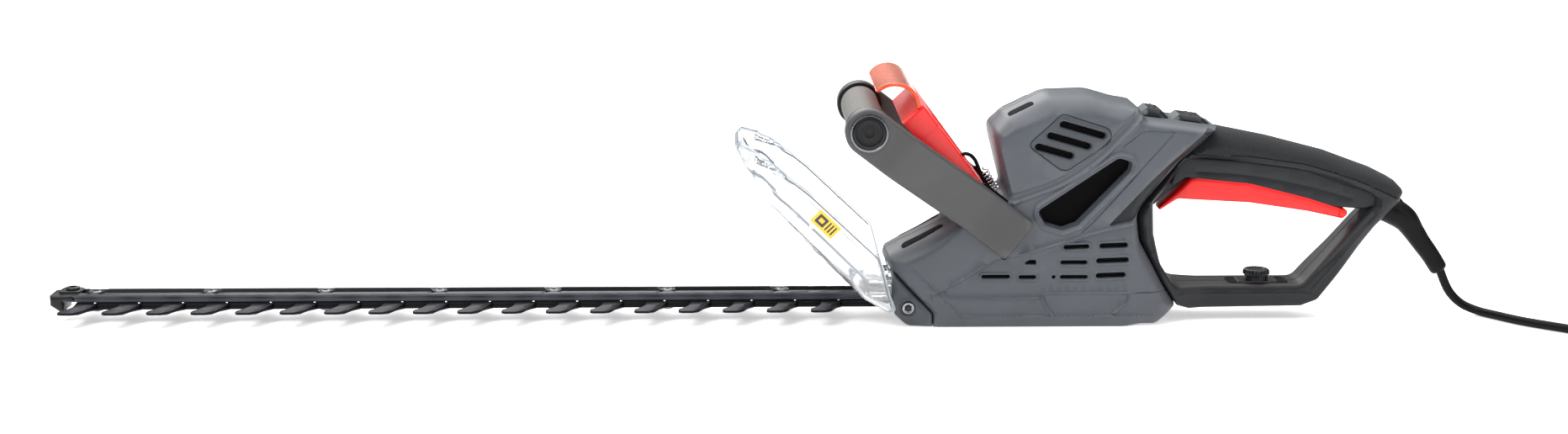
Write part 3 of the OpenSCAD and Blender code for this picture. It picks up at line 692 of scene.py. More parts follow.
def above(points, height):
    """Places a plate drawn in X and Y, its height upwards."""
    return np.stack([points[:, 0], points[:, 1], height], 1)


def both_faces(mask, total, walls=0):
    """A mark per face of a solid: the mask's on top and bottom, and one value for the walls."""
    marks = np.full(total, walls)
    marks[:2 * len(mask)] = np.tile(mask, 2)
    return marks


def level(plate, height):
    """The same height at every point of a plate."""
    return np.full(len(plate.points), height)


def solid(plate, top, bottom, place=sideways, seam=0.0, rings=()):
    """Closed mesh data between two heights of a plate, as vertices, faces and a label per face.

    Top triangles are labelled 0, bottom ones 1 and the walls 2. A seam is a groove of that depth
    round the middle of the wall. Rings are (share of the way down, distance in) steps in the wall.
    """
    count = len(plate.points)
    used = dict.fromkeys(edge for a, b, c in plate.faces for edge in ((a, b), (b, c), (c, a)))
    border = [(a, b) for a, b in used if (b, a) not in used]
    after, before = dict(border), {b: a for a, b in border}
    keys = sorted(after)
    along = plate.points[[after[k] for k in keys]] - plate.points[[before[k] for k in keys]]
    along /= np.linalg.norm(along, axis=1)[:, None] + 1e-9
    inner = np.stack([-along[:, 1], along[:, 0]], 1)
    at = plate.points[keys]
    high, low = top[keys], bottom[keys]
    stack = [place(plate.points, top), place(plate.points, bottom)]
    middle = (high + low) / 2
    if seam:
        steps = [(0.7, 0.0), (0.25, seam), (-0.25, seam), (-0.7, 0.0)]
        stack += [place(at + inner * inset, middle + lift) for lift, inset in steps]
    for share, inset in rings:
        stack.append(place(at + inner * inset, high + (low - high) * share))
    ladders = [{k: k for k in keys}]
    for level in range(len(stack) - 2):
        ladders.append({k: 2 * count + level * len(keys) + i for i, k in enumerate(keys)})
    ladders.append({k: count + k for k in keys})
    faces = [tuple(f) for f in plate.faces] + [tuple(count + v for v in f[::-1]) for f in plate.faces]
    labels = [0] * len(plate.faces) + [1] * len(plate.faces)
    for upper, lower in zip(ladders, ladders[1:]):
        faces += [(upper[b], upper[a], lower[a], lower[b]) for a, b in border]
        labels += [2] * len(border)
    points = np.concatenate(stack)
    a, b, c = (points[plate.faces[:, i]] for i in range(3))
    outward = place(plate.points[:1], top[:1] + 1) - place(plate.points[:1], top[:1])
    if (np.cross(b - a, c - a)[(plate.faces == plate.faces[0, 0]).any(1)].sum(0) @ outward[0]) < 0:
        faces = [f[::-1] for f in faces]
    return points, faces, np.array(labels)


def piece(name, points, faces, body, slot_name, stands_for=(), material=None, angle=38,
          extra=(), marks=None):
    """Makes a mesh object from vertices in millimetres, rides it on its body and gives it its material.

    It stands for the CAD nodes named. Edges sharper than the angle stay sharp. Marks choose, for each
    face, between the material and the extra ones.
    """
    used = sorted({v for f in faces for v in f})
    where = {v: i for i, v in enumerate(used)}
    mesh = bpy.data.meshes.new(name)
    mesh.from_pydata([tuple(points[v] * MM) for v in used], [], [[where[v] for v in f] for f in faces])
    mesh.materials.append(material or MATERIALS[slot_name])
    for other in extra:
        mesh.materials.append(other)
    if marks is not None:
        mesh.polygons.foreach_set("material_index", marks)
    mesh.validate()
    mesh.polygons.foreach_set("use_smooth", [True] * len(mesh.polygons))
    mesh.set_sharp_from_angle(angle=math.radians(angle))
    made = bpy.data.objects.new(name, mesh)
    bpy.context.scene.collection.objects.link(made)
    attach(made, body)
    if stands_for:
        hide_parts(*stands_for)
    return made


def mirrored(points, faces):
    """The same mesh data on the other side of the middle plane."""
    return points * (1, -1, 1), [tuple(f[::-1]) for f in faces]


def joined(*meshes):
    """Several (vertices, faces) pairs as one."""
    points, faces = [], []
    for some_points, some_faces in meshes:
        base = sum(len(p) for p in points)
        points.append(np.asarray(some_points, float))
        faces += [tuple(int(v) + base for v in f) for f in some_faces]
    return np.concatenate(points), faces


def lathe(profile, base, axis, sides=48, closed=False):
    """Turns (distance along, radius) points round an axis: a ring if the profile is closed, else a plug."""
    axis = Vector(axis).normalized()
    across = axis.orthogonal().normalized()
    other = axis.cross(across)
    rings = []
    for along, radius in profile:
        for i in range(sides):
            t = 2 * math.pi * i / sides
            spoke = across * math.cos(t) + other * math.sin(t)
            rings.append(Vector(base) + axis * along + radius * spoke)
    faces = []
    rows = len(profile)
    for r in range(rows if closed else rows - 1):
        for i in range(sides):
            j, s = (i + 1) % sides, (r + 1) % rows
            faces.append((r * sides + i, r * sides + j, s * sides + j, s * sides + i))
    if not closed:
        faces.append(tuple(range(sides - 1, -1, -1)))
        faces.append(tuple((rows - 1) * sides + i for i in range(sides)))
    return np.array(rings), faces


def tube(path, radii, sides=16):
    """A round tube along a path, with one radius for each point."""
    path = np.array(path, float)
    along = np.gradient(path, axis=0)
    along /= np.linalg.norm(along, axis=1)[:, None]
    points, faces = [], []
    for p, t, r in zip(path, along, radii):
        side = np.cross(t, (1, 0, 0) if abs(t[1]) > 0.9 else (0, 1, 0))
        side /= np.linalg.norm(side)
        top = np.cross(side, t)
        for k in range(sides):
            a = 2 * math.pi * k / sides
            points.append(p + r * (side * math.cos(a) + top * math.sin(a)))
    for i in range(len(path) - 1):
        for k in range(sides):
            m = (k + 1) % sides
            faces.append((i * sides + k, i * sides + m, (i + 1) * sides + m, (i + 1) * sides + k))
    faces.append(tuple(range(sides - 1, -1, -1)))
    faces.append(tuple((len(path) - 1) * sides + k for k in range(sides)))
    return np.array(points), faces


# ---------------------------------------------------------------- motor housing

BODY_HALF = 38.0  # half the housing's width
HANDLE_HALF = 20.0  # half the rear handle's width
SEAM = 0.5  # depth of the groove where the half shells meet
HOUSING = [
    (150, 0), (313, 0, 8), (329, 13, 3), (318, 30, 8), (300, 62, 10), (297, 82, 8), (326, 118, 12),
    (354, 144.5), (322, 149, 10), (302, 151.5, 3), (296.5, 159.5, 4), (262, 169.6, 30), (230, 168.6, 20),
    (200.5, 153.6, 9), (191, 142.5, 8),
    (203, 96, 6), (161, 74.5, 20), (125.5, 57.5, 7), (115.5, 52, 4), (114.6, 47, 2), (120, 40), (150, 9, 4),
]
POCKET = [
    (223, 86, 4), (229, 76, 3), (242, 72, 5), (253, 76, 5), (290, 115, 6), (291.5, 122, 3), (281, 125, 6),
]
GRILLE = [(215, 134.5, 4), (242, 114.5, 8), (284, 143, 7), (240, 157, 6)]
GRILLE_TILT = -16
GRILLE_SLOTS = [(238, 150, 34.5), (229, 142, 33), (220.5, 134, 29)]  # x, z and length
WEDGE = [
    (274, 74.5, 1), (292, 78, 3), (297.6, 83.5, 2), (322, 115.5, 8), (352, 143.8, 1),
    (346, 146, 1), (328, 130, 2), (303, 106, 10),
]
LOWER_SLOTS = [  # x of both ends, z, height and tilt
    (243, 262, 59.2, 3.4, 2), (269, 290, 60, 4, 2), (241, 261, 48, 3.2, 0), (267, 291, 49, 4, 2),
    (184, 205, 37.6, 3, 0), (211, 224, 37.2, 3, 0), (241, 261.5, 37.2, 3, 0), (267, 289, 38, 4, 2),
]
# Behind this line the flank tapers towards the handle.
FLANK_LINE = [(320, -6), (315, 18), (309, 40), (293, 74), (300, 100), (327, 130), (350, 152)]


def housing_plate():
    """The side view of the housing with all its relief, and the outlines of its sunken fields."""
    plate = Plate(loop(HOUSING, 3.2), grid=6)
    plate.border(0.2, 0.7, 1.5, 2.6, 4, 5.6, 7.4, 9.4, 11.8, 14)
    # The dome stands proud of the broad strap that carries the pocket.
    plate.slope(curve([(203, 97), (220, 102), (240, 110), (262, 125), (280, 143), (298, 161)]), 1.8, 2.6)
    plate.ridge(curve([(206, 92), (222, 98), (243, 106.5), (266, 122), (284, 139.5), (299, 155)]), 4.4, 1.9)
    plate.ridge(curve([(285, 133.5), (299, 144), (321, 143), (263.6, 77.4), (256, 70.5)], steps=1),
                1.2, -0.6)
    plate.ridge(offset(loop(POCKET, 3), -2.6), 4.6, 2.0, closed=True)
    # The lower panel lies under an S-shaped step, with its own shallow fields.
    plate.slope(curve([(316, 80), (296, 74.5), (272, 69), (252, 63.5), (225, 55.5), (197, 50), (183, 41),
                       (160, 29)])[::-1], 2.2, 2.2)
    plate.ridge(curve([(205, 52), (228, 58.5), (254, 67), (275, 72.5), (295, 76.5)]), 3.0, 1.5)
    plate.ridge(curve([(186, 47), (172, 37), (159, 29), (159.5, 23), (168, 21.4), (224, 21.4), (229, 23.5),
                       (236, 25), (291, 25)]), 2.2, 1.2)
    plate.ridge(curve([(228, 23), (231, 16), (236.5, 9)]), 4.0, 2.0)
    plate.ridge(curve([(292, 24.5), (289, 17), (281, 10.5)]), 2.4, 1.4)
    plate.ridge(curve([(298, 25.2), (314, 25.4), (325, 25.2)]), 0.9, -0.7)
    plate.ridge(curve([(134, 43), (169, 8), (308, 8)], steps=1), 2.2, 0.9)
    plate.ridge(curve([(124, 38.5), (152, 10)], steps=1), 1.0, -0.5)
    plate.ridge(loop(GRILLE), 1.2, -0.9, closed=True)
    for x, z, length in GRILLE_SLOTS:
        plate.ridge(slot(x - 0.5, x + length + 0.5, z, 6.4, GRILLE_TILT), 1.0, 0.6, closed=True)
    for x0, x1, z, height, tilt in LOWER_SLOTS:
        plate.ridge(offset(slot(x0, x1, z, height, tilt), -1.2), 2.0, 0.8, closed=True)
    pocket = plate.sink(loop(POCKET, 3), 9, 1.2)
    wedge = plate.sink(loop(WEDGE, 3), 2.6, 0.8)
    # The slots are sunk and marked for the dark material: painted shade of the open vents.
    dark = [plate.sink(slot(x, x + n, z, 5.4, GRILLE_TILT), 3.2, 0.5) for x, z, n in GRILLE_SLOTS]
    small = [slot(*sizes) for sizes in LOWER_SLOTS]
    small.append(loop([(213, 46.6, 1), (224, 46.4, 1), (223.5, 50.2, 1.5), (218.5, 50, 2)], 2))
    small.append(circle(236.5, 37.3, 1.5, 10))
    dark += [plate.sink(line, 3, 0.4) for line in small]
    return plate.cut(), pocket, wedge, dark


def housing_half(plate):
    """Half the housing's width at each point: flat flanks, with rounder edges at the dome and the nose."""
    x, z = plate.points.T
    spine = ease(x, 294, 300) * ease(z, 118, 135)
    low = ease(-z, -14, -4)
    dome = ease(z, 128, 158) * ease(-x, -300, -280)
    nose = ease(-x, -178, -140) * ease(z, 34, 50)
    width = 5 - 3.4 * low + 11 * dome + 9 * nose + 8 * ease(x, 288, 304) * (1 - spine)
    drop = width + 3 * ease(x, 288, 304) + 6 * spine + 13 * dome + 12 * nose
    t = np.clip(1 - plate.rim / width, 0, 1)
    gap, side = side_of(plate.points, curve(FLANK_LINE, 4))
    taper = 9 * np.where(side < 0, ease(gap / 26), 0)
    crown = 2.5 * ease(z, 128, 168)
    front = 5 * ease(-x, -160, -118)
    edge = drop * (1 - np.sqrt(1 - t * t))
    detail = plate.relief * np.where(plate.relief > 0, ease(plate.rim / 3), 1)
    return BODY_HALF - 1.6 - taper - crown - front - edge + detail


def top_slits(skin):
    """Painted shade of the openings in the crown of the dome and of the nose: slim dark inlays on the
    shell's own surface.
    """
    made = []
    for start, end in (((202, 155), (218, 166.6)), ((126.5, 58), (157, 72.6))):
        a, b = Vector((start[0], 0, start[1])), Vector((end[0], 0, end[1]))
        length = (b - a).length
        along = (b - a) / length
        up = Vector((-along.z, 0, along.x))
        outline = loop([(0, -23, 2), (length, -23, 2), (length, -14.5, 4), (0, -14.5, 4)], 3)
        plate = Plate(outline, grid=3).border(0.3, 0.8).cut()

        def place(p, height, a=a, along=along, up=up):
            """Slits are drawn as (distance along the crown, Y), with height off the skin below."""
            spots = []
            for (s, y), h in zip(p, np.broadcast_to(height, len(p))):
                start_of_ray = a + along * float(s) + Vector((0, float(y), 0)) + up * 30
                hit = skin.ray_cast(start_of_ray, -up)[0]
                spots.append(hit + up * float(h))
            return np.array(spots)
        top = 0.35 - edge_drop(plate.rim, 0.3)
        slit = solid(plate, top, level(plate, -1.5), place)[:2]
        made += [slit, mirrored(*slit)]
    piece("housing_slits", *joined(*made), "housing", "pocket_black", material=DARK)


def make_housing():
    """The housing as four pieces of one closed skin, which is returned for seating other parts on it."""
    plate, pocket, wedge, dark = housing_plate()
    top = housing_half(plate)
    points, faces, _ = solid(plate, top, -top, seam=SEAM)
    total = len(faces)
    shade = both_faces(np.any([plate.region(line) for line in dark], axis=0), total)
    pocket = both_faces(plate.region(pocket), total) > 0
    wedge = both_faces(plate.region(wedge), total) > 0
    grille = (both_faces(plate.region(loop(GRILLE)), total) > 0) & ~pocket
    for name, chosen, slot_name, nodes in (
            ("housing_shell", ~(pocket | wedge | grille), "housing_grey", ("housing_left", "housing_right")),
            ("housing_wedge", wedge & ~(pocket | grille), "handle_grey", ()),
            ("side_pockets", pocket, "pocket_black", ("pocket_liners",)),
            ("air_grilles", grille, "cover_grey", ("vent_grilles",))):
        numbers = np.flatnonzero(chosen)
        piece(name, points, [faces[i] for i in numbers], "housing", slot_name, nodes,
              extra=(DARK,), marks=shade[numbers])
    skin = BVHTree.FromPolygons([tuple(p) for p in points], faces)
    top_slits(skin)
    return skin


housing_skin = make_housing()


COVER_SCREW = (131.5, 14)


def make_cover():
    """Front cover of the gearcase, with a rounded rim and a countersunk screw on each side."""
    line = loop([(120.4, 39.4, 0.6), (149.4, 9.2, 4), (149.4, 0, 0.4), (131, 0, 8), (122, 8, 5),
                 (120, 16, 4)], 3)
    plate = Plate(line, grid=5)
    plate.border(0.2, 0.7, 1.5, 2.6, 4)
    plate.ridge(circle(*COVER_SCREW, 6.6, 24), 1.6, 0.5, closed=True)
    plate.sink(circle(*COVER_SCREW, 5.2, 24), 2.2, 0.5)
    plate.cut()
    top = BODY_HALF - 1.8 - edge_drop(plate.rim, 3.6) + plate.relief
    top -= 4.5 * ease(-plate.points[:, 0], -150, -120)
    points, faces, _ = solid(plate, top, -top)
    piece("gearcase_cover", points, faces, "housing", "cover_grey", ("gear_cover",))


make_cover()


# ---------------------------------------------------------------- rear handle

HANDLE = [
    (329, 13, 2), (339, 9.5, 6), (422, 10.5, 6), (434, 15, 6), (475, 69, 5), (492, 87, 4), (495, 95.5, 4),
    (488, 103, 6), (472, 111.2, 20), (437, 124.2, 30), (394, 135.4, 30), (354, 143.5), (326, 118, 12),
    (297, 82, 8), (300, 62, 10), (318, 30, 8),
]
OPENING = [
    (327, 26, 12), (421.5, 26, 10), (463, 74.3, 2), (467, 78.4, 3), (478, 91, 6), (422, 108, 20),
    (378, 113.6, 4), (362, 115.6, 4), (335, 117.6, 5), (329, 112, 3), (310, 89, 4), (311, 66, 8),
    (316, 44, 14),
]
OVERLAY = [
    (334, 124, 5), (382, 122, 20), (422, 116, 20), (458, 105, 12), (489, 91, 3), (510, 90), (510, 150),
    (345, 150),
]
CORE = [
    (322, 97, 2), (335, 106, 3), (345, 103.4, 2), (382, 97.6, 20), (425, 87.6, 10), (441, 83.6, 2),
    (452, 83, 2), (466, 82.2, 1), (475, 84, 2), (481, 92, 2), (470, 96, 2), (422, 112, 20), (377, 118, 2),
    (335, 121, 2), (328, 114, 2),
]


def make_handle():
    """The D-shaped handle and its soft overlay, two pieces of one closed skin, which is returned."""
    plate = Plate(loop(HANDLE, 3.2), [loop(OPENING, 3.2)], grid=5)
    plate.border(0.2, 0.7, 1.5, 2.6, 4, 5.8, 8, 10.5, 13.5)
    cover = loop(OVERLAY, 3)
    plate.ridge(cover, 1.4, -0.9, closed=True)
    plate.ridge(curve([(340, 117.5), (380, 117), (424, 111), (462, 99), (478, 88), (474, 80)], 3, 3),
                2.2, 0.8)
    plate.ridge(curve([(330, 20.5), (422, 20.5), (430, 24), (468, 70)], 3, 2), 1.6, 0.5)
    plate.lines.append(cover)
    plate.cut()
    x, z = plate.points.T
    radius = 9 - 6 * ease(-z, -60, -30) + 9 * ease(z, 96, 118)
    front = 9 * ease(-x, -352, -318)
    top = HANDLE_HALF - 0.4 + front - edge_drop(np.minimum(plate.rim, radius), radius) + plate.relief
    points, faces, _ = solid(plate, top, -top, seam=SEAM)
    soft = both_faces(plate.region(cover), len(faces)) > 0
    walls = 2 * len(plate.faces)
    ends = np.array([points[list(f)].mean(0)[[0, 2]] for f in faces[walls:]])
    soft[walls:] = inside(ends, cover) & (ends[:, 1] > 98) & ~inside(ends, loop(CORE))
    for name, chosen, slot_name, nodes in (
            ("rear_handle_shell", ~soft, "handle_grey", ("rear_handle_left", "rear_handle_right")),
            ("rear_handle_overlay", soft, "soft_grip", ("grip_overlay",))):
        piece(name, points, [faces[i] for i in np.flatnonzero(chosen)], "housing", slot_name, nodes)
    return BVHTree.FromPolygons([tuple(p) for p in points], faces)


def make_grip_core():
    """The recessed part of the grip that the trigger closes against, and the dark slot of the lock knob."""
    plate = Plate(loop(CORE, 3), grid=5).border(0.3, 1.0, 2.0)
    plate.ridge(curve([(345, 110), (382, 107), (424, 99), (456, 90)], 3, 3), 1.6, -0.5)
    plate.cut()
    top = 13.4 - edge_drop(plate.rim, 1.6) + plate.relief
    core = solid(plate, top, -top)[:2]
    # The web that the trigger closes over at its front end.
    web_line = loop([(307, 90, 2), (312.5, 84, 1.5), (334, 103, 2), (346, 104, 2), (346, 113, 2),
                     (329, 113, 3)], 3)
    plate = Plate(web_line).border(0.4, 1.2).cut()
    side = 7 - edge_drop(plate.rim, 1.2)
    web = solid(plate, side, -side)[:2]
    # The dark tray that the knob's plate slides in.
    tray_line = loop([(369.5, -9.8, 4), (414.5, -9.8, 4), (414.5, 9.8, 4), (369.5, 9.8, 4)], 4)
    tray = Plate(tray_line, grid=6).border(0.3, 0.8)
    tray.sink(offset(tray_line, 1.6), 0.35, 0.4)
    tray.cut()
    bed = solid(tray, 26.45 - edge_drop(tray.rim, 0.35) + tray.relief, level(tray, 25.2), place=above)[:2]
    piece("grip_core", *joined(core, web), "housing", "handle_grey")
    piece("knob_tray", *bed, "housing", "pocket_black")


handle_skin = make_handle()
make_grip_core()


def make_trigger():
    """Red trigger with rounded edges and the eye of its pin at the rear."""
    line = loop([(315.5, 82, 1.5), (318, 80.5, 1.5), (330, 90, 5), (382, 87, 30), (425, 80.5, 30),
                 (451, 74.8, 3), (458, 80, 3), (425, 91, 30), (382, 102, 30), (343, 106, 6),
                 (338, 105, 3)], 2.6)
    plate = Plate(line, grid=4)
    plate.border(0.15, 0.5, 1.0, 1.7, 2.5)
    plate.ridge(circle(451, 79, 3.2), 1.0, -0.5, closed=True)
    plate.cut()
    nose = 6 * ease(-plate.points[:, 0], -336, -316)
    top = 14.2 - nose - edge_drop(plate.rim, 2.4) + plate.relief
    points, faces, _ = solid(plate, top, -top)
    piece("rear_trigger", points, faces, "trigger", "red_plastic", ("trigger",))


make_trigger()


def make_buttons():
    """Two push buttons on the spine, each a crisp block with broad chamfers and grip ridges."""
    front = [(299.5, 146, 0.6), (321, 140, 0.6), (320.8, 149.6, 1), (315, 156, 1), (305.6, 157.6, 1),
             (300, 153, 1)]
    rear = [(322, 139, 0.6), (353, 134, 0.6), (352.8, 143.4, 1), (345, 150.2, 1), (329, 152.4, 1),
            (322.5, 147, 1)]
    chamfer = 3.4
    for name, body, line, (ax, az), (bx, bz) in (
            ("front_push_button", "front_button", front, (307, 155.3), (314, 154.2)),
            ("rear_push_button", "rear_button", rear, (330.5, 150), (343.5, 148.2))):
        plate = Plate(loop(line, 2), grid=3).border(0.3, chamfer - 0.2, chamfer + 0.2).cut()
        top = 13.6 - 0.8 * np.clip(chamfer - plate.rim, 0, chamfer) - 0.3 * (plate.rim < 0.2)
        parts = [solid(plate, top, -top)[:2]]
        for y in (-7.8, -5.2, -2.6, 0, 2.6, 5.2, 7.8):
            arch = [(ax, y, az + 0.4), ((ax + bx) / 2, y, (az + bz) / 2 + 2.3), (bx, y, bz + 0.4)]
            parts.append(tube(arch, [0.4, 0.7, 0.4], 8))
        piece(name, *joined(*parts), body, "button_blue_black", (body,), angle=20)


make_buttons()


KNOB_X = 392
KNOB_FLUTES = 24


def make_knob():
    """Two-step lock knob with a fluted rim, on its sliding plate."""
    def fluted(radius, deep):
        """A circle with rounded flutes of a given depth."""
        line = []
        for i in range(4 * KNOB_FLUTES):
            t = 2 * math.pi * i / (4 * KNOB_FLUTES)
            r = radius - deep * (1 + math.cos(KNOB_FLUTES * t)) / 2
            line.append((r * math.cos(t) + KNOB_X, r * math.sin(t)))
        return np.array(line)
    slider = loop([(377, -9, 3), (407, -9, 3), (407, 9, 3), (377, 9, 3)], 3)
    dish = circle(KNOB_X, 0, 6.4, 32)
    parts = []
    for line, hollow, low, high, radius in (
            (fluted(8.6, 0.3), None, 26.2, 31.4, 0.8), (fluted(9.8, 0.9), dish, 31, 35, 1.4),
            (slider, None, 25.0, 27.0, 0.5)):
        plate = Plate(line, grid=3).border(0.15, 0.5, 1.0, 1.6)
        if hollow is not None:
            plate.sink(hollow, 0.6, 0.5)
        plate.cut()
        top = high - edge_drop(plate.rim, radius) + plate.relief
        parts.append(solid(plate, top, level(plate, low), place=above)[:2])
    piece("lock_knob_top", *joined(*parts), "lock_knob", "knob_black", ("lock_knob",))


make_knob()


# ---------------------------------------------------------------- front handle

FOOT = Vector((198.5, 74))  # X and Z of the middle of an arm's foot
GRIP = Vector((100, 149.5))  # X and Z of the grip's axis
ARM_LENGTH = (GRIP - FOOT).length
ARM_HALF = 16.8  # half the arm's width
ARM_OUTER = 77.0  # how far out the arms stand at the grip
ARM_FOOT = -15.5  # where the foot ends, along the arm


def make_arms():
    """Two flat straps that splay out from the housing to the ends of the grip."""
    along = (GRIP - FOOT).normalized()
    across = Vector((-along.y, along.x))
    half, chamfer = ARM_HALF, 1.9
    turns = [math.pi / 2 - math.pi * i / 24 for i in range(25)]
    end = [Vector((ARM_LENGTH + half * math.cos(t), half * math.sin(t))) for t in turns]
    foot = [Vector((ARM_FOOT + chamfer, -half)), Vector((ARM_FOOT, -half + chamfer)),
            Vector((ARM_FOOT, half - chamfer)), Vector((ARM_FOOT + chamfer, half))]
    line = np.array(even([*foot, *end, foot[0]], 4)[:-1])
    plate = Plate(line, grid=6).border(0.2, 0.6, 1.1, 1.8, 2.6)
    plate.sink(circle(ARM_LENGTH, 0, 12.6, 40), 1.2, 0.4)
    plate.cut()
    u = plate.points[:, 0]
    outer = 45.6 + (ARM_OUTER - 46) * np.clip((u - 22) / 72, 0, 1) - edge_drop(plate.rim, 2.2)
    inner = 37.4 + 28.2 * np.clip((u - 26) / 72, 0, 1) + 0.6 * (1 - ease(plate.rim / 1.2))

    def place(p, height):
        """Arm plates are drawn as (distance along the arm, distance across it)."""
        x = FOOT.x + p[:, 0] * along.x + p[:, 1] * across.x
        z = FOOT.y + p[:, 0] * along.y + p[:, 1] * across.y
        return np.stack([x, -height, z], 1)
    points, faces, _ = solid(plate, outer + plate.relief, inner, place)
    piece("front_arm_near", points, faces, "housing", "arm_grey", ("front_arm_left",))
    piece("front_arm_far", *mirrored(points, faces), "housing", "arm_grey", ("front_arm_right",))
    # A shallow dark sheet under each arm's foot on the housing: painted shade in the gap between arm and
    # housing.
    outline = loop([(ARM_FOOT, -half, 1), (30, -half, 1), (30, half, 1), (ARM_FOOT, half, 1)], 4)
    foot_shade = Plate(offset(outline, -1.2), grid=8).cut()
    seat = solid(foot_shade, level(foot_shade, BODY_HALF), level(foot_shade, 33.0), place)[:2]
    piece("arm_foot_shade", *joined(seat, mirrored(*seat)), "housing", "pocket_black")


def make_front_grip():
    """Ribbed sleeve, black flanges, and end caps in bright rings."""
    base = (GRIP.x, 0, GRIP.y)
    profile = [(-66, 12.6), (-65.6, 13.6)]
    y = -60.0
    while y < 60:
        profile += [(y, 13.4), (y + 0.7, 14.0), (y + 2.1, 14.0), (y + 2.8, 13.4)]
        y += 3.5
    profile += [(65.6, 13.6), (66, 12.6)]
    piece("grip_sleeve", *lathe(profile, base, (0, 1, 0), 56), "housing", "grip_tube", ("front_grip",))
    flange = [(60, 13.8), (60, 15.6), (60.6, 16.5), (61.6, 16.8), (64.6, 16.8), (65.6, 16.4),
              (66, 15.4), (66, 13.8)]
    cap = [(74, 11.7), (77, 11.7), (77.6, 11.4), (77.9, 10.8), (77.9, 9.4), (77.3, 9.0), (77.1, 8.2),
           (77.4, 5.2), (77.4, 3.2), (76.6, 2.9), (76.4, 0.1)]
    ring = [(76.2, 11.8), (77.35, 11.8), (77.6, 12.1), (77.6, 12.9), (77.4, 13.3), (76.9, 13.5),
            (76.2, 13.4)]
    for name, shape, closed, slot_name, node, material in (
            ("grip_end_flanges", flange, True, "black_plastic", "grip_flanges", None),
            ("grip_end_caps", cap, False, "black_plastic", "grip_caps", None),
            ("grip_cap_rings", ring, True, "bright_steel", "cap_rings", RING)):
        far = lathe(shape, base, (0, 1, 0), 56, closed)
        piece(name, *joined(far, mirrored(*far)), "housing", slot_name, (node,), material=material)


make_arms()
make_front_grip()


LEVER = Vector((186, 99))  # X and Z of the lever's lower end
LEVER_TURN = math.radians(47)  # how far it leans


def lever_place(p, height):
    """Lever plates are drawn as (distance up the lever, Y), with height off its plane."""
    c, s = math.cos(LEVER_TURN), math.sin(LEVER_TURN)
    up_it, y = p.T
    return np.stack([LEVER.x - c * up_it + s * height, y, LEVER.y + s * up_it + c * height], 1)


def make_lever():
    """Red switch lever: a pan that widens from its pivot to the full width of the grip."""
    line = loop([(-5, -29.5, 3), (12, -29.5, 20), (78, -54.5, 12), (82, -57.4, 2), (82, 57.4, 2),
                 (78, 54.5, 12), (12, 29.5, 20), (-5, 29.5, 3)], 3.5)
    plate = Plate(line, grid=6)
    plate.border(0.2, 0.7, 1.4, 2.2, 3.0, 4.0)
    plate.ridge(loop([(14, -22, 6), (70, -42, 8), (70, 42, 8), (14, 22, 6)], 4), 3, -0.7, closed=True)
    for y in (-12, 0, 12):
        plate.ridge(curve([(20, y), (66, y * 2)], 4, 2), 2.4, 0.5)
    plate.sink(circle(62, -47, 1.7, 16), 0.5, 0.3)
    plate.cut()
    s = plate.points[:, 0]
    face = 2.4 + s * 0.11
    low = -8 + 3.4 * ease(-s, -4, 6)
    hollow = low + (face - 3.2 - low) * ease((plate.rim - 2.2) / 0.9)
    pan = solid(plate, face - edge_drop(plate.rim, 1.8) + plate.relief, hollow, lever_place)[:2]
    piece("lever_pan", *pan, "front_lever", "red_plastic", ("lever_base",))


def make_hook():
    """Clear red hook that curls over the grip, with a denser rim."""
    (x, z), mid = (119.6, 164.8), 15.9
    length = math.radians(148) * mid
    line = loop([(0, -57.2, 1), (length * 0.55, -57.2, 8), (length, -50, 9), (length, 50, 9),
                 (length * 0.55, 57.2, 8), (0, 57.2, 1)], 2.5)
    plate = Plate(line, grid=4).border(0.25, 0.7, 1.2, 1.8, 3).cut()

    def place(p, height):
        """The plate is drawn as (distance round the curl, Y)."""
        turn = math.radians(-3) + p[:, 0] / mid
        radius = mid + height
        return np.stack([x + radius * np.cos(turn), p[:, 1], z + radius * np.sin(turn)], 1)
    fall = edge_drop(plate.rim, 1.3)
    points, faces, _ = solid(plate, 1.45 - fall, -1.45 + fall, place)
    rim = both_faces(plate.rim[plate.faces].mean(1) < 1.7, len(faces), walls=1)
    piece("lever_hook_clear", points, faces, "front_lever", "hook_clear_red", ("lever_hook",),
          extra=(clear("acrylic_rim", rgb(250, 92, 50), roughness=0.15, weight=0.35),), marks=rim)


make_lever()
make_hook()


def make_switch_wire():
    """Thin wire loop from the housing to the lever."""
    route = [(196, -22, 91), (194, -22, 96), (188.5, -22, 102.5), (184.5, -22, 109), (182, -22, 115.5),
             (179.5, -22, 121), (176, -22, 124.6), (172, -22, 125.6), (168, -22, 123.6)]
    path = smooth(route, 6)
    points, faces = tube(path, [1.4] * len(path), 12)
    mesh = bpy.data.meshes.new("lever_wire")
    mesh.from_pydata([tuple(p * MM) for p in points], [], faces)
    mesh.materials.append(MATERIALS["cord_black"])
    mesh.polygons.foreach_set("use_smooth", [True] * len(mesh.polygons))
    wire = bpy.data.objects.new("lever_wire", mesh)
    bpy.context.scene.collection.objects.link(wire)
    [v * MM for v in route[2]]
    [v * MM for v in route[-1]]
    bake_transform(wire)
    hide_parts("switch_wire")


make_switch_wire()


def make_lever_spring():
    """Bright coil spring that stands behind the lever, between two plain legs."""
    a, b = Vector((187, -15, 112)), Vector((196, -15, 96.5))
    radius, turns, steps = 2.9, 7, 16
    axis = (b - a).normalized()
    side = Vector((0, 1, 0))
    up = axis.cross(side)
    path = [tuple(a - axis * 2 + side * radius)]
    for i in range(turns * steps + 1):
        turn = 2 * math.pi * i / steps
        middle = a + (b - a) * i / (turns * steps)
        path.append(tuple(middle + (side * math.cos(turn) + up * math.sin(turn)) * radius))
    path.append(tuple(b + axis * 5 + side * radius))
    coil = tube(path, [0.62] * len(path), 8)
    piece("lever_return_spring", *coil, "housing", "bright_steel", ("lever_spring",))


make_lever_spring()


# ---------------------------------------------------------------- hand guard

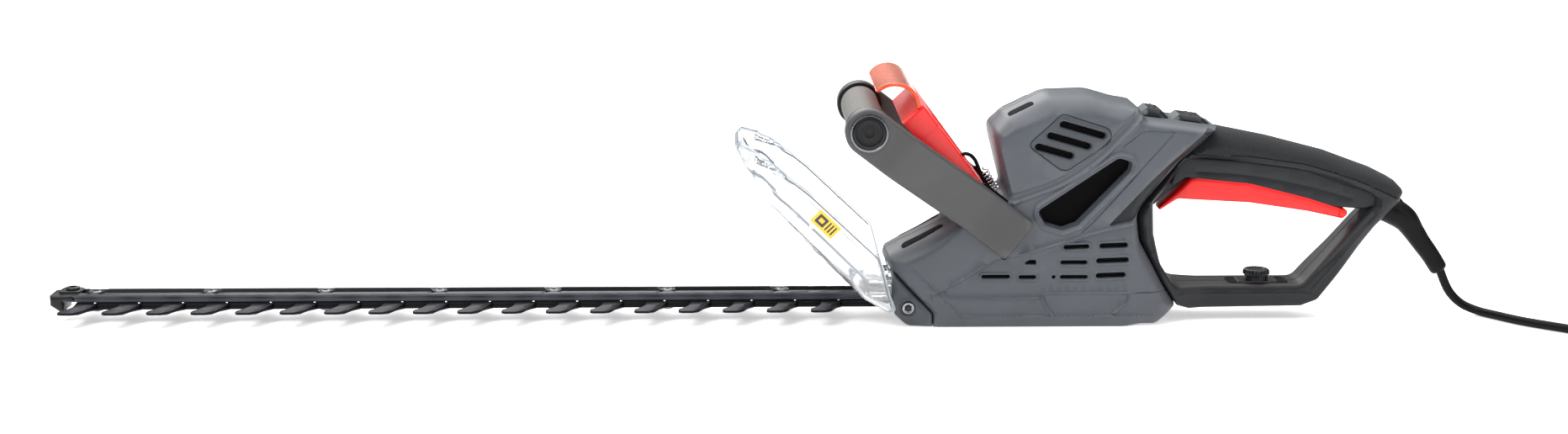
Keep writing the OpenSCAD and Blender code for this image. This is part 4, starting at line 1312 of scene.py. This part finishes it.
# How the guard's section changes with height, each as (heights, values).
GUARD_BEND = 16.0  # radius of its two corners
GUARD_SHEET = 2.5  # thickness
GUARD_FRONT = ((-8, 15, 118, 157), (-6, -12, -12, -1))
GUARD_BACK = ((-8, 30, 97, 122, 142, 157), (-3, 20, 18, 15, 12, 4))
GUARD_WIDTH = ((-8, 110, 140, 157), (60, 62, 54, 40))


def guard_place(p, height):
    """Guard plates are drawn as (distance round the bend, distance up), with height inwards."""
    round_way, up = p.T
    front = np.interp(up, *GUARD_FRONT)
    flat = np.interp(up, *GUARD_WIDTH) - GUARD_BEND
    run = abs(round_way) - flat
    turn = np.clip(run / GUARD_BEND, 0, math.pi / 2)
    flank = np.maximum(0, run - GUARD_BEND * math.pi / 2)
    x = front + GUARD_BEND - (GUARD_BEND - height) * np.cos(turn) + flank
    y = np.minimum(abs(round_way), flat) + (GUARD_BEND - height) * np.sin(turn) + 0.12 * flank
    root = math.sqrt(0.5)
    return np.stack([117 + root * (x - up), np.sign(round_way) * y, 22 + root * (x + up)], 1)


def guard_reach(up):
    """Half the developed width of the guard at a height."""
    flat = np.interp(up, *GUARD_WIDTH) - GUARD_BEND
    deep = np.interp(up, *GUARD_BACK) - np.interp(up, *GUARD_FRONT)
    if deep < GUARD_BEND:
        return flat + GUARD_BEND * math.acos(1 - deep / GUARD_BEND)
    return flat + GUARD_BEND * math.pi / 2 + deep - GUARD_BEND


def make_guard():
    """Clear shield with a rolled edge, ribs down its flanks, and the ledge and foot that hold it."""
    heights = (-6, 0, 8, 15, 24, 31, 50, 75, 97, 110, 122, 134, 144, 152, 157)
    right = [(guard_reach(s), s, 3) for s in heights]
    left = [(-x, s, r) for x, s, r in right[::-1]]
    line = loop([(-44.6, 12.9, 3), (44.6, 12.9, 3), (44.6, -6, 2), *right, *left, (-44.6, -6, 2)], 3)
    plate = Plate(line, grid=6).border(0.3, 0.9, 1.6, 2.6, 4)
    for side in (-1, 1):
        for rib in ([(66, 24), (66.5, 70), (66.5, 104), (64, 116)],
                    [(66, 117), (58, 130), (44, 140), (38, 149)],
                    [(80, 118), (68, 131), (56, 141)]):
            plate.ridge(curve([(side * x, s) for x, s in rib], 5, 3), 2.2, 1.3)
    plate.ridge(curve([(-40, 30), (0, 26), (40, 30)], 4, 3), 3, 1.2)
    plate.cut()
    bead = 1.5 * (1 - ease((plate.rim - 1.2) / 1.6))
    at_edge = 1 - ease(plate.rim)
    inner = GUARD_SHEET + bead - 0.9 * at_edge + plate.relief
    points, faces, _ = solid(plate, 0.1 + 0.8 * at_edge, inner, guard_place)
    edge = (plate.rim[plate.faces].mean(1) < 1.1) | (plate.relief[plate.faces].mean(1) > 0.75)
    marks = both_faces(edge, len(faces), walls=1)
    foot_line = loop([(-26, 22.4, 2), (26, 22.4, 2), (26, 38.6, 4), (-26, 38.6, 4)], 4)
    foot = Plate(foot_line, grid=6).border(0.3, 0.8).cut()
    ledge_line = loop([(101, -45, 2), (119, -45, 6), (119, 45, 6), (101, 45, 2)], 4)
    ledge = Plate(ledge_line, grid=7).border(0.3, 0.8)
    for y in (-36, 36, -12, 12):
        ledge.ridge(curve([(103, y), (116, y)], 3, 1), 2.4, 1.6)
    ledge.cut()

    def upright(p, height):
        """The foot is drawn in Y and Z, with height towards +X."""
        return np.stack([height, p[:, 0], p[:, 1]], 1)
    low = solid(foot, level(foot, 119.9), level(foot, 117.6), upright)[:2]
    shelf = solid(ledge, 24.9 - edge_drop(ledge.rim, 0.6) + ledge.relief, level(ledge, 22.4), above)[:2]
    points, faces = joined((points, faces), low, shelf)
    marks = np.concatenate([marks, np.zeros(len(faces) - len(marks), int)])
    piece("guard_shield", points, faces, "housing", "clear_guard", ("hand_guard",),
          extra=(clear("polycarbonate_edge", rgb(176, 186, 196), roughness=0.1, weight=0.45),), marks=marks)


def make_label():
    """Plain yellow sticker with a generic dark sign and bars."""
    def box(x0, x1, low, high, radius, step=2):
        """A rectangle with rounded corners."""
        return loop([(x0, low, radius), (x1, low, radius), (x1, high, radius), (x0, high, radius)], step)
    plate = Plate(box(-81.6, -70.4, 65.4, 85.6, 1), grid=3).border(0.4)
    dark = [box(-79.6, -72.4, 75.4, 83.4, 0.6)]
    dark += [box(-79.6, -72.4, s, s + 1.3, 0.3) for s in (67.4, 70, 72.6)]
    bright = box(-77.6, -74.4, 77.4, 81.4, 0.6, step=1.5)
    plate.lines += dark + [bright]
    plate.cut()
    points, faces, _ = solid(plate, level(plate, -0.45), level(plate, -0.05), guard_place)
    inked = np.any([plate.region(shape) for shape in dark], axis=0) & ~plate.region(bright)
    piece("guard_sticker", points, faces, "housing", "label_yellow", ("guard_label",),
          extra=(glossy("label_ink", rgb(30, 28, 26)),), marks=both_faces(inked, len(faces)))


make_guard()
make_label()


# ---------------------------------------------------------------- blade

RAIL_TOP = 21.4
RAIL_UNDERSIDE = 15.42
BOLTS = [-464 + 84 * i for i in range(7)]  # X of each bolt
TEETH = 18
TOOTH_PITCH = 32
HALF_STROKE = 8
LOWER_BLADE = (10.0, 12.4)  # Z of both faces
UPPER_BLADE = (12.7, 15.1)


def make_rail():
    """Support rail: two raised runners, a trough between them, and a rolled groove along each flank."""
    plate = Plate(loop([(-486, -10.8, 1), (158, -10.8), (158, 10.8), (-486, 10.8, 1)], 14), grid=14)
    for y in (-9.9, -8.4, -6.2, -5.2, 5.2, 6.2, 8.4, 9.9):
        plate.samples.append(curve([(-485, y), (157, y)], 14, 1))
    for x in BOLTS:
        plate.ridge(circle(x, 0, 5.6, 28), 1.4, 0.5, closed=True)
        plate.samples.append(circle(x, 0, 4.2, 24))
    plate.cut()
    y = abs(plate.points[:, 1])
    runner = 2.2 * (ease(y, 5.2, 6.2) - 0.35 * ease(y, 8.4, 9.9))
    from_bolt = np.min([np.hypot(plate.points[:, 0] - x, plate.points[:, 1]) for x in BOLTS], axis=0)
    pads = ease(-from_bolt, -6.6, -5.4)
    top = RAIL_TOP - 2.4 + np.maximum(runner, pads * 1.9) + plate.relief * 0.6
    groove = ((0.12, 0.0), (0.3, 0.0), (0.42, 0.8), (0.66, 0.8), (0.78, 0.0), (0.93, 0.0))
    points, faces, labels = solid(plate, top, level(plate, RAIL_UNDERSIDE), above, rings=groove)
    # The side walls take the paler enamel copy: painted light on the flanks, which are the same enamel as
    # the darker top.
    piece("blade_rail", points, faces, "housing", "rail_black", ("support_rail",), angle=30,
          extra=(RAIL_FLANK_LIT,), marks=(labels == 2).astype(int))


def make_bolts():
    """Button-head screws with round sockets, and lock nuts under the blades, each turned further."""
    head = [(0, 2.5), (8.9, 2.5), (9.0, 4.1), (9.5, 4.2), (10.2, 4.0), (10.9, 3.4), (11.2, 2.6)]
    socket = [(11.2, 1.9), (9.8, 1.7), (9.7, 0.05)]
    nut = [(0, 4.2), (0.5, 4.9), (2.5, 4.9), (3.0, 4.2)]
    tail = [(0, 1.6), (0.8, 2.4), (4, 2.4)]
    parts = []
    for i, x in enumerate(BOLTS):
        parts.append(lathe(head + socket, (x, 0, 10.4), (0, 0, 1), 24))
        points, faces = lathe(nut, (x, 0, 6.9), (0, 0, 1), 6)
        c, s = math.cos(0.7 * i), math.sin(0.7 * i)
        along, across, up = (points - (x, 0, 0)).T
        parts.append((np.stack([x + c * along - s * across, s * along + c * across, up], 1), faces))
        parts.append(lathe(tail, (x, 0, 6.2), (0, 0, 1), 16))
    piece("blade_bolts", *joined(*parts), "housing", "screw_steel", ("rail_bolts",), material=RING)


def tooth(x):
    """The outline of one hooked tooth, as (x, distance from the middle)."""
    return [(x - 7.6, 13), (x - 8.8, 21), (x - 11.4, 28), (x - 15, 30.8), (x - 15.2, 35.2), (x - 13, 37),
            (x - 5, 37), (x + 0.6, 31.4), (x + 4.6, 21), (x + 8.4, 13)]


def make_blades():
    """Two toothed blades. Their teeth are ground to a bevel on the outer faces."""
    side = [(-476, 13)]
    for i in range(TEETH):
        side += tooth(-468 + TOOTH_PITCH * i)
    side += [(162.5, 13), (162.5, 25.5), (229.5, 25.5)]
    other = [(x, -y) for x, y in side[::-1]]
    line = np.array(even([Vector(p) for p in side + other + side[:1]], 9)[:-1])
    yoke = loop([(167.5, -20.5), (224.5, -20.5), (224.5, 20.5), (167.5, 20.5)], 12)
    slots = []
    for x in BOLTS:
        ends = ((x + HALF_STROKE, -90), (x - HALF_STROKE, 90))
        turns = [(end, math.radians(start + t)) for end, start in ends for t in range(0, 181, 30)]
        slots.append(np.array([(end + 2.8 * math.cos(t), 2.8 * math.sin(t)) for end, t in turns]))
    plate = Plate(line, [yoke] + slots, grid=10).border(0.9, 2.6).cut()
    y = abs(plate.points[:, 1])
    ground = ease(y, 12.5, 15) * (1 - np.clip(plate.rim / 2.6, 0, 1))
    gullet = 0.25 * ease(y, 15, 24) * ease(plate.rim / 3)
    bevel = 1.7 * ground + gullet
    for name, node, low, high in (
            ("blade_lower", "lower_blade", LOWER_BLADE[0] + bevel, level(plate, LOWER_BLADE[1])),
            ("blade_upper", "upper_blade", level(plate, UPPER_BLADE[0]), UPPER_BLADE[1] - bevel)):
        points, faces, _ = solid(plate, high, low, above)
        piece(name, points, faces, node, "blade_black", (node,), angle=22)


def make_rivet_glints():
    """Small bright steel domes along both edges of the upper blade, one for each tooth: rivet heads that
    stand in for the glints at the tooth roots.
    """
    head = [(-0.6, 1.0), (0, 1.15), (0.35, 0.95), (0.55, 0.5), (0.6, 0.05)]
    places = [(-462 + TOOTH_PITCH * i, y, UPPER_BLADE[1]) for i in range(TEETH) for y in (-12.1, 12.1)]
    heads = [lathe(head, place, (0, 0, 1), 14) for place in places]
    piece("blade_rivet_glints", *joined(*heads), "upper_blade", "bright_steel")


def make_tip():
    """Nose piece that closes the front of the rail, with a small round stud on top."""
    line = loop([(-495.8, 12.6, 0.6), (-489.5, 8.2, 1), (-485.3, 8.2, 1), (-485.3, 15.7, 0.3),
                 (-477, 15.7, 1), (-477, 21.2, 1), (-495.8, 20.4, 0.8)], 1.6)
    plate = Plate(line, grid=3).border(0.2, 0.6, 1.2, 2.0, 3.0).cut()
    top = 11.4 - edge_drop(plate.rim, 2.8)
    nose = solid(plate, top, -top)[:2]
    pad_line = loop([(-490, -8, 3), (-474, -8, 3), (-474, 8, 3), (-490, 8, 3)], 2.5)
    pad = Plate(pad_line, grid=4).border(0.3, 0.8).cut()
    cap = solid(pad, 22.7 - edge_drop(pad.rim, 0.7), level(pad, 20.6), above)[:2]
    stud = lathe([(0, 5.4), (1.6, 5.4), (2.2, 5.0), (2.5, 4.2), (2.5, 2.4), (1.6, 2.1), (1.5, 0.05)],
                 (-481, 0, 22.2), (0, 0, 1), 28)
    piece("blade_nose", *joined(nose, cap, stud), "housing", "black_plastic", ("tip_guard",))


make_rail()
make_bolts()
make_blades()
make_rivet_glints()
make_tip()


# ---------------------------------------------------------------- screws, boot and plug

def socket_screw(place, out, radius, height):
    """A pan-head screw with a bright raised rim round a deep recess."""
    profile = ((-1, 0.9), (-0.1, 1), (0.2, 0.97), (0.35, 0.86), (0.3, 0.76), (-0.1, 0.7), (-0.15, 0.3),
               (0.1, 0.22), (0.15, 0.05 / radius))
    return lathe([(height * up, radius * share) for up, share in profile], place, out, 32)


def star_shade(place, out, radius, height):
    """The painted shade in a screw's recess: a short dark prism with six points."""
    out = Vector(out)
    middle = Vector(place) + out * height * 0.02
    cross = Vector((1, 0, 0))
    rise = out.cross(cross)
    ring = []
    for k in range(12):
        r = radius * 0.69 * (0.82 + 0.18 * (k % 2))
        ring.append(cross * (r * math.cos(k * math.pi / 6)) + rise * (r * math.sin(k * math.pi / 6)))
    front = [tuple(middle + spoke + out * 0.12 * height) for spoke in ring]
    back = [tuple(middle + spoke - out * 0.3 * height) for spoke in ring]
    faces = [tuple(range(12)), tuple(range(23, 11, -1))]
    faces += [(k, k + 12, (k + 1) % 12 + 12, (k + 1) % 12) for k in range(12)]
    return np.array(front + back), faces


def make_screws():
    """Heads of the screws that close the shells: all on the far side, and one a side in the cover."""
    far = [(housing_skin, (165, 62)), (housing_skin, (296, 14)), (housing_skin, (222, 151)),
           (housing_skin, (287, 147)), (housing_skin, (299, 100)),
           (handle_skin, (356, 18.2)), (handle_skin, (424, 18.2)), (handle_skin, (479, 97))]
    x, z = COVER_SCREW
    heads = [((x, sign * 34.4, z), (0, sign, 0), 4.3, 1.8) for sign in (-1, 1)]
    for skin, (x, z) in far:
        seat = skin.ray_cast(Vector((x, 90, z)), Vector((0, -1, 0)))[0]
        heads.append(((x, seat.y - 0.1, z), (0, 1, 0), 3.6 if skin is housing_skin else 2.9, 1.5))
    piece("shell_screws", *joined(*[socket_screw(*head) for head in heads]), "housing", "screw_steel",
          ("case_screws",))
    recess_shades = [star_shade(*head) for head in heads]
    piece("shell_screw_socket_shade", *joined(*recess_shades), "housing", "black_plastic")


def make_boot():
    """Strain relief: a thick root against the handle that tapers into a sleeve with a rounded lip."""
    route = [(478, 0, 84), (485, 0, 80.5), (493, 0, 77), (501, 0, 71.5), (507.4, 0, 63), (513.4, 0, 54.6),
             (520.6, 0, 45.2), (526.9, 0, 35.8)]
    sizes = [9, 9.8, 10, 9.3, 7.8, 7.1, 6.7, 6.5]
    steps = 6
    path = smooth(route, steps)
    radii = [float(np.interp(i / steps, range(len(sizes)), sizes)) for i in range(len(path))]
    end = path[-1]
    out = (end - path[-2]).normalized()
    for far, size in ((1.6, 6.3), (2.6, 5.6), (3.1, 4.4), (3.2, 3.3)):
        path.append(end + out * far)
        radii.append(size)
    sleeve = tube(path, radii, 32)
    clip = tube([(484, 0, 91), (491, 0, 87.5), (497.5, 0, 81.5), (501, 0, 75)], [4, 4.4, 3.6, 1.5], 16)
    return piece("cord_strain_relief", *joined(sleeve, clip), "housing", "cord_black", ("cord_boot",))


PLUG_TURN = math.radians(107)


def make_plug():
    """Moulded mains plug with grip ribs, at the end of the lead; it lies flat on the floor."""
    line = loop([(0, -4.9, 1.5), (10, -6, 4), (18, -14, 6), (35.8, -16, 3), (35.8, 16, 3), (18, 14, 6),
                 (10, 6, 4), (0, 4.9, 1.5)], 2.2)
    plate = Plate(line, grid=3).border(0.3, 0.9, 1.8, 3, 4.4)
    for x in (21, 24.5, 28):
        plate.ridge(curve([(x, -11), (x, 11)], 2, 1), 1.8, -0.6)
    plate.cut()
    lift = 6.9 - edge_drop(np.minimum(plate.rim, 4.2), 4.2) + plate.relief
    end = Vector(CORD_ROUTE[-1])
    c, s = math.cos(PLUG_TURN), math.sin(PLUG_TURN)

    def place(p, height):
        """The plug is drawn as (distance along it, distance across it)."""
        along, across = p.T
        return np.stack([end.x + c * along - s * across, end.y + s * along + c * across, end.z + height], 1)
    points, faces, _ = solid(plate, lift, -lift, place, seam=0.3)
    body = piece("mains_plug", points, faces, "housing", "cord_black", ("plug_body",))
    pin = [(-1, 2.4), (1.2, 2.4), (1.6, 2.0), (17.6, 2.0), (18.6, 1.5), (19.1, 0.6)]
    pins = []
    for y in (-9.5, 9.5):
        start = (end.x + c * 35.8 - s * y, end.y + s * 35.8 + c * y, end.z)
        pins.append(lathe(pin, start, (c, s, 0), 24))
    prongs = piece("mains_plug_pins", *joined(*pins), "housing", "bright_steel", ("plug_pins",))
    return body, prongs


make_screws()
boot = make_boot()
plug, prongs = make_plug()
[v * MM for v in CORD_ROUTE[0]]

boxes = [[list(corner) for corner in box] for box in (cad_box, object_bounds())]
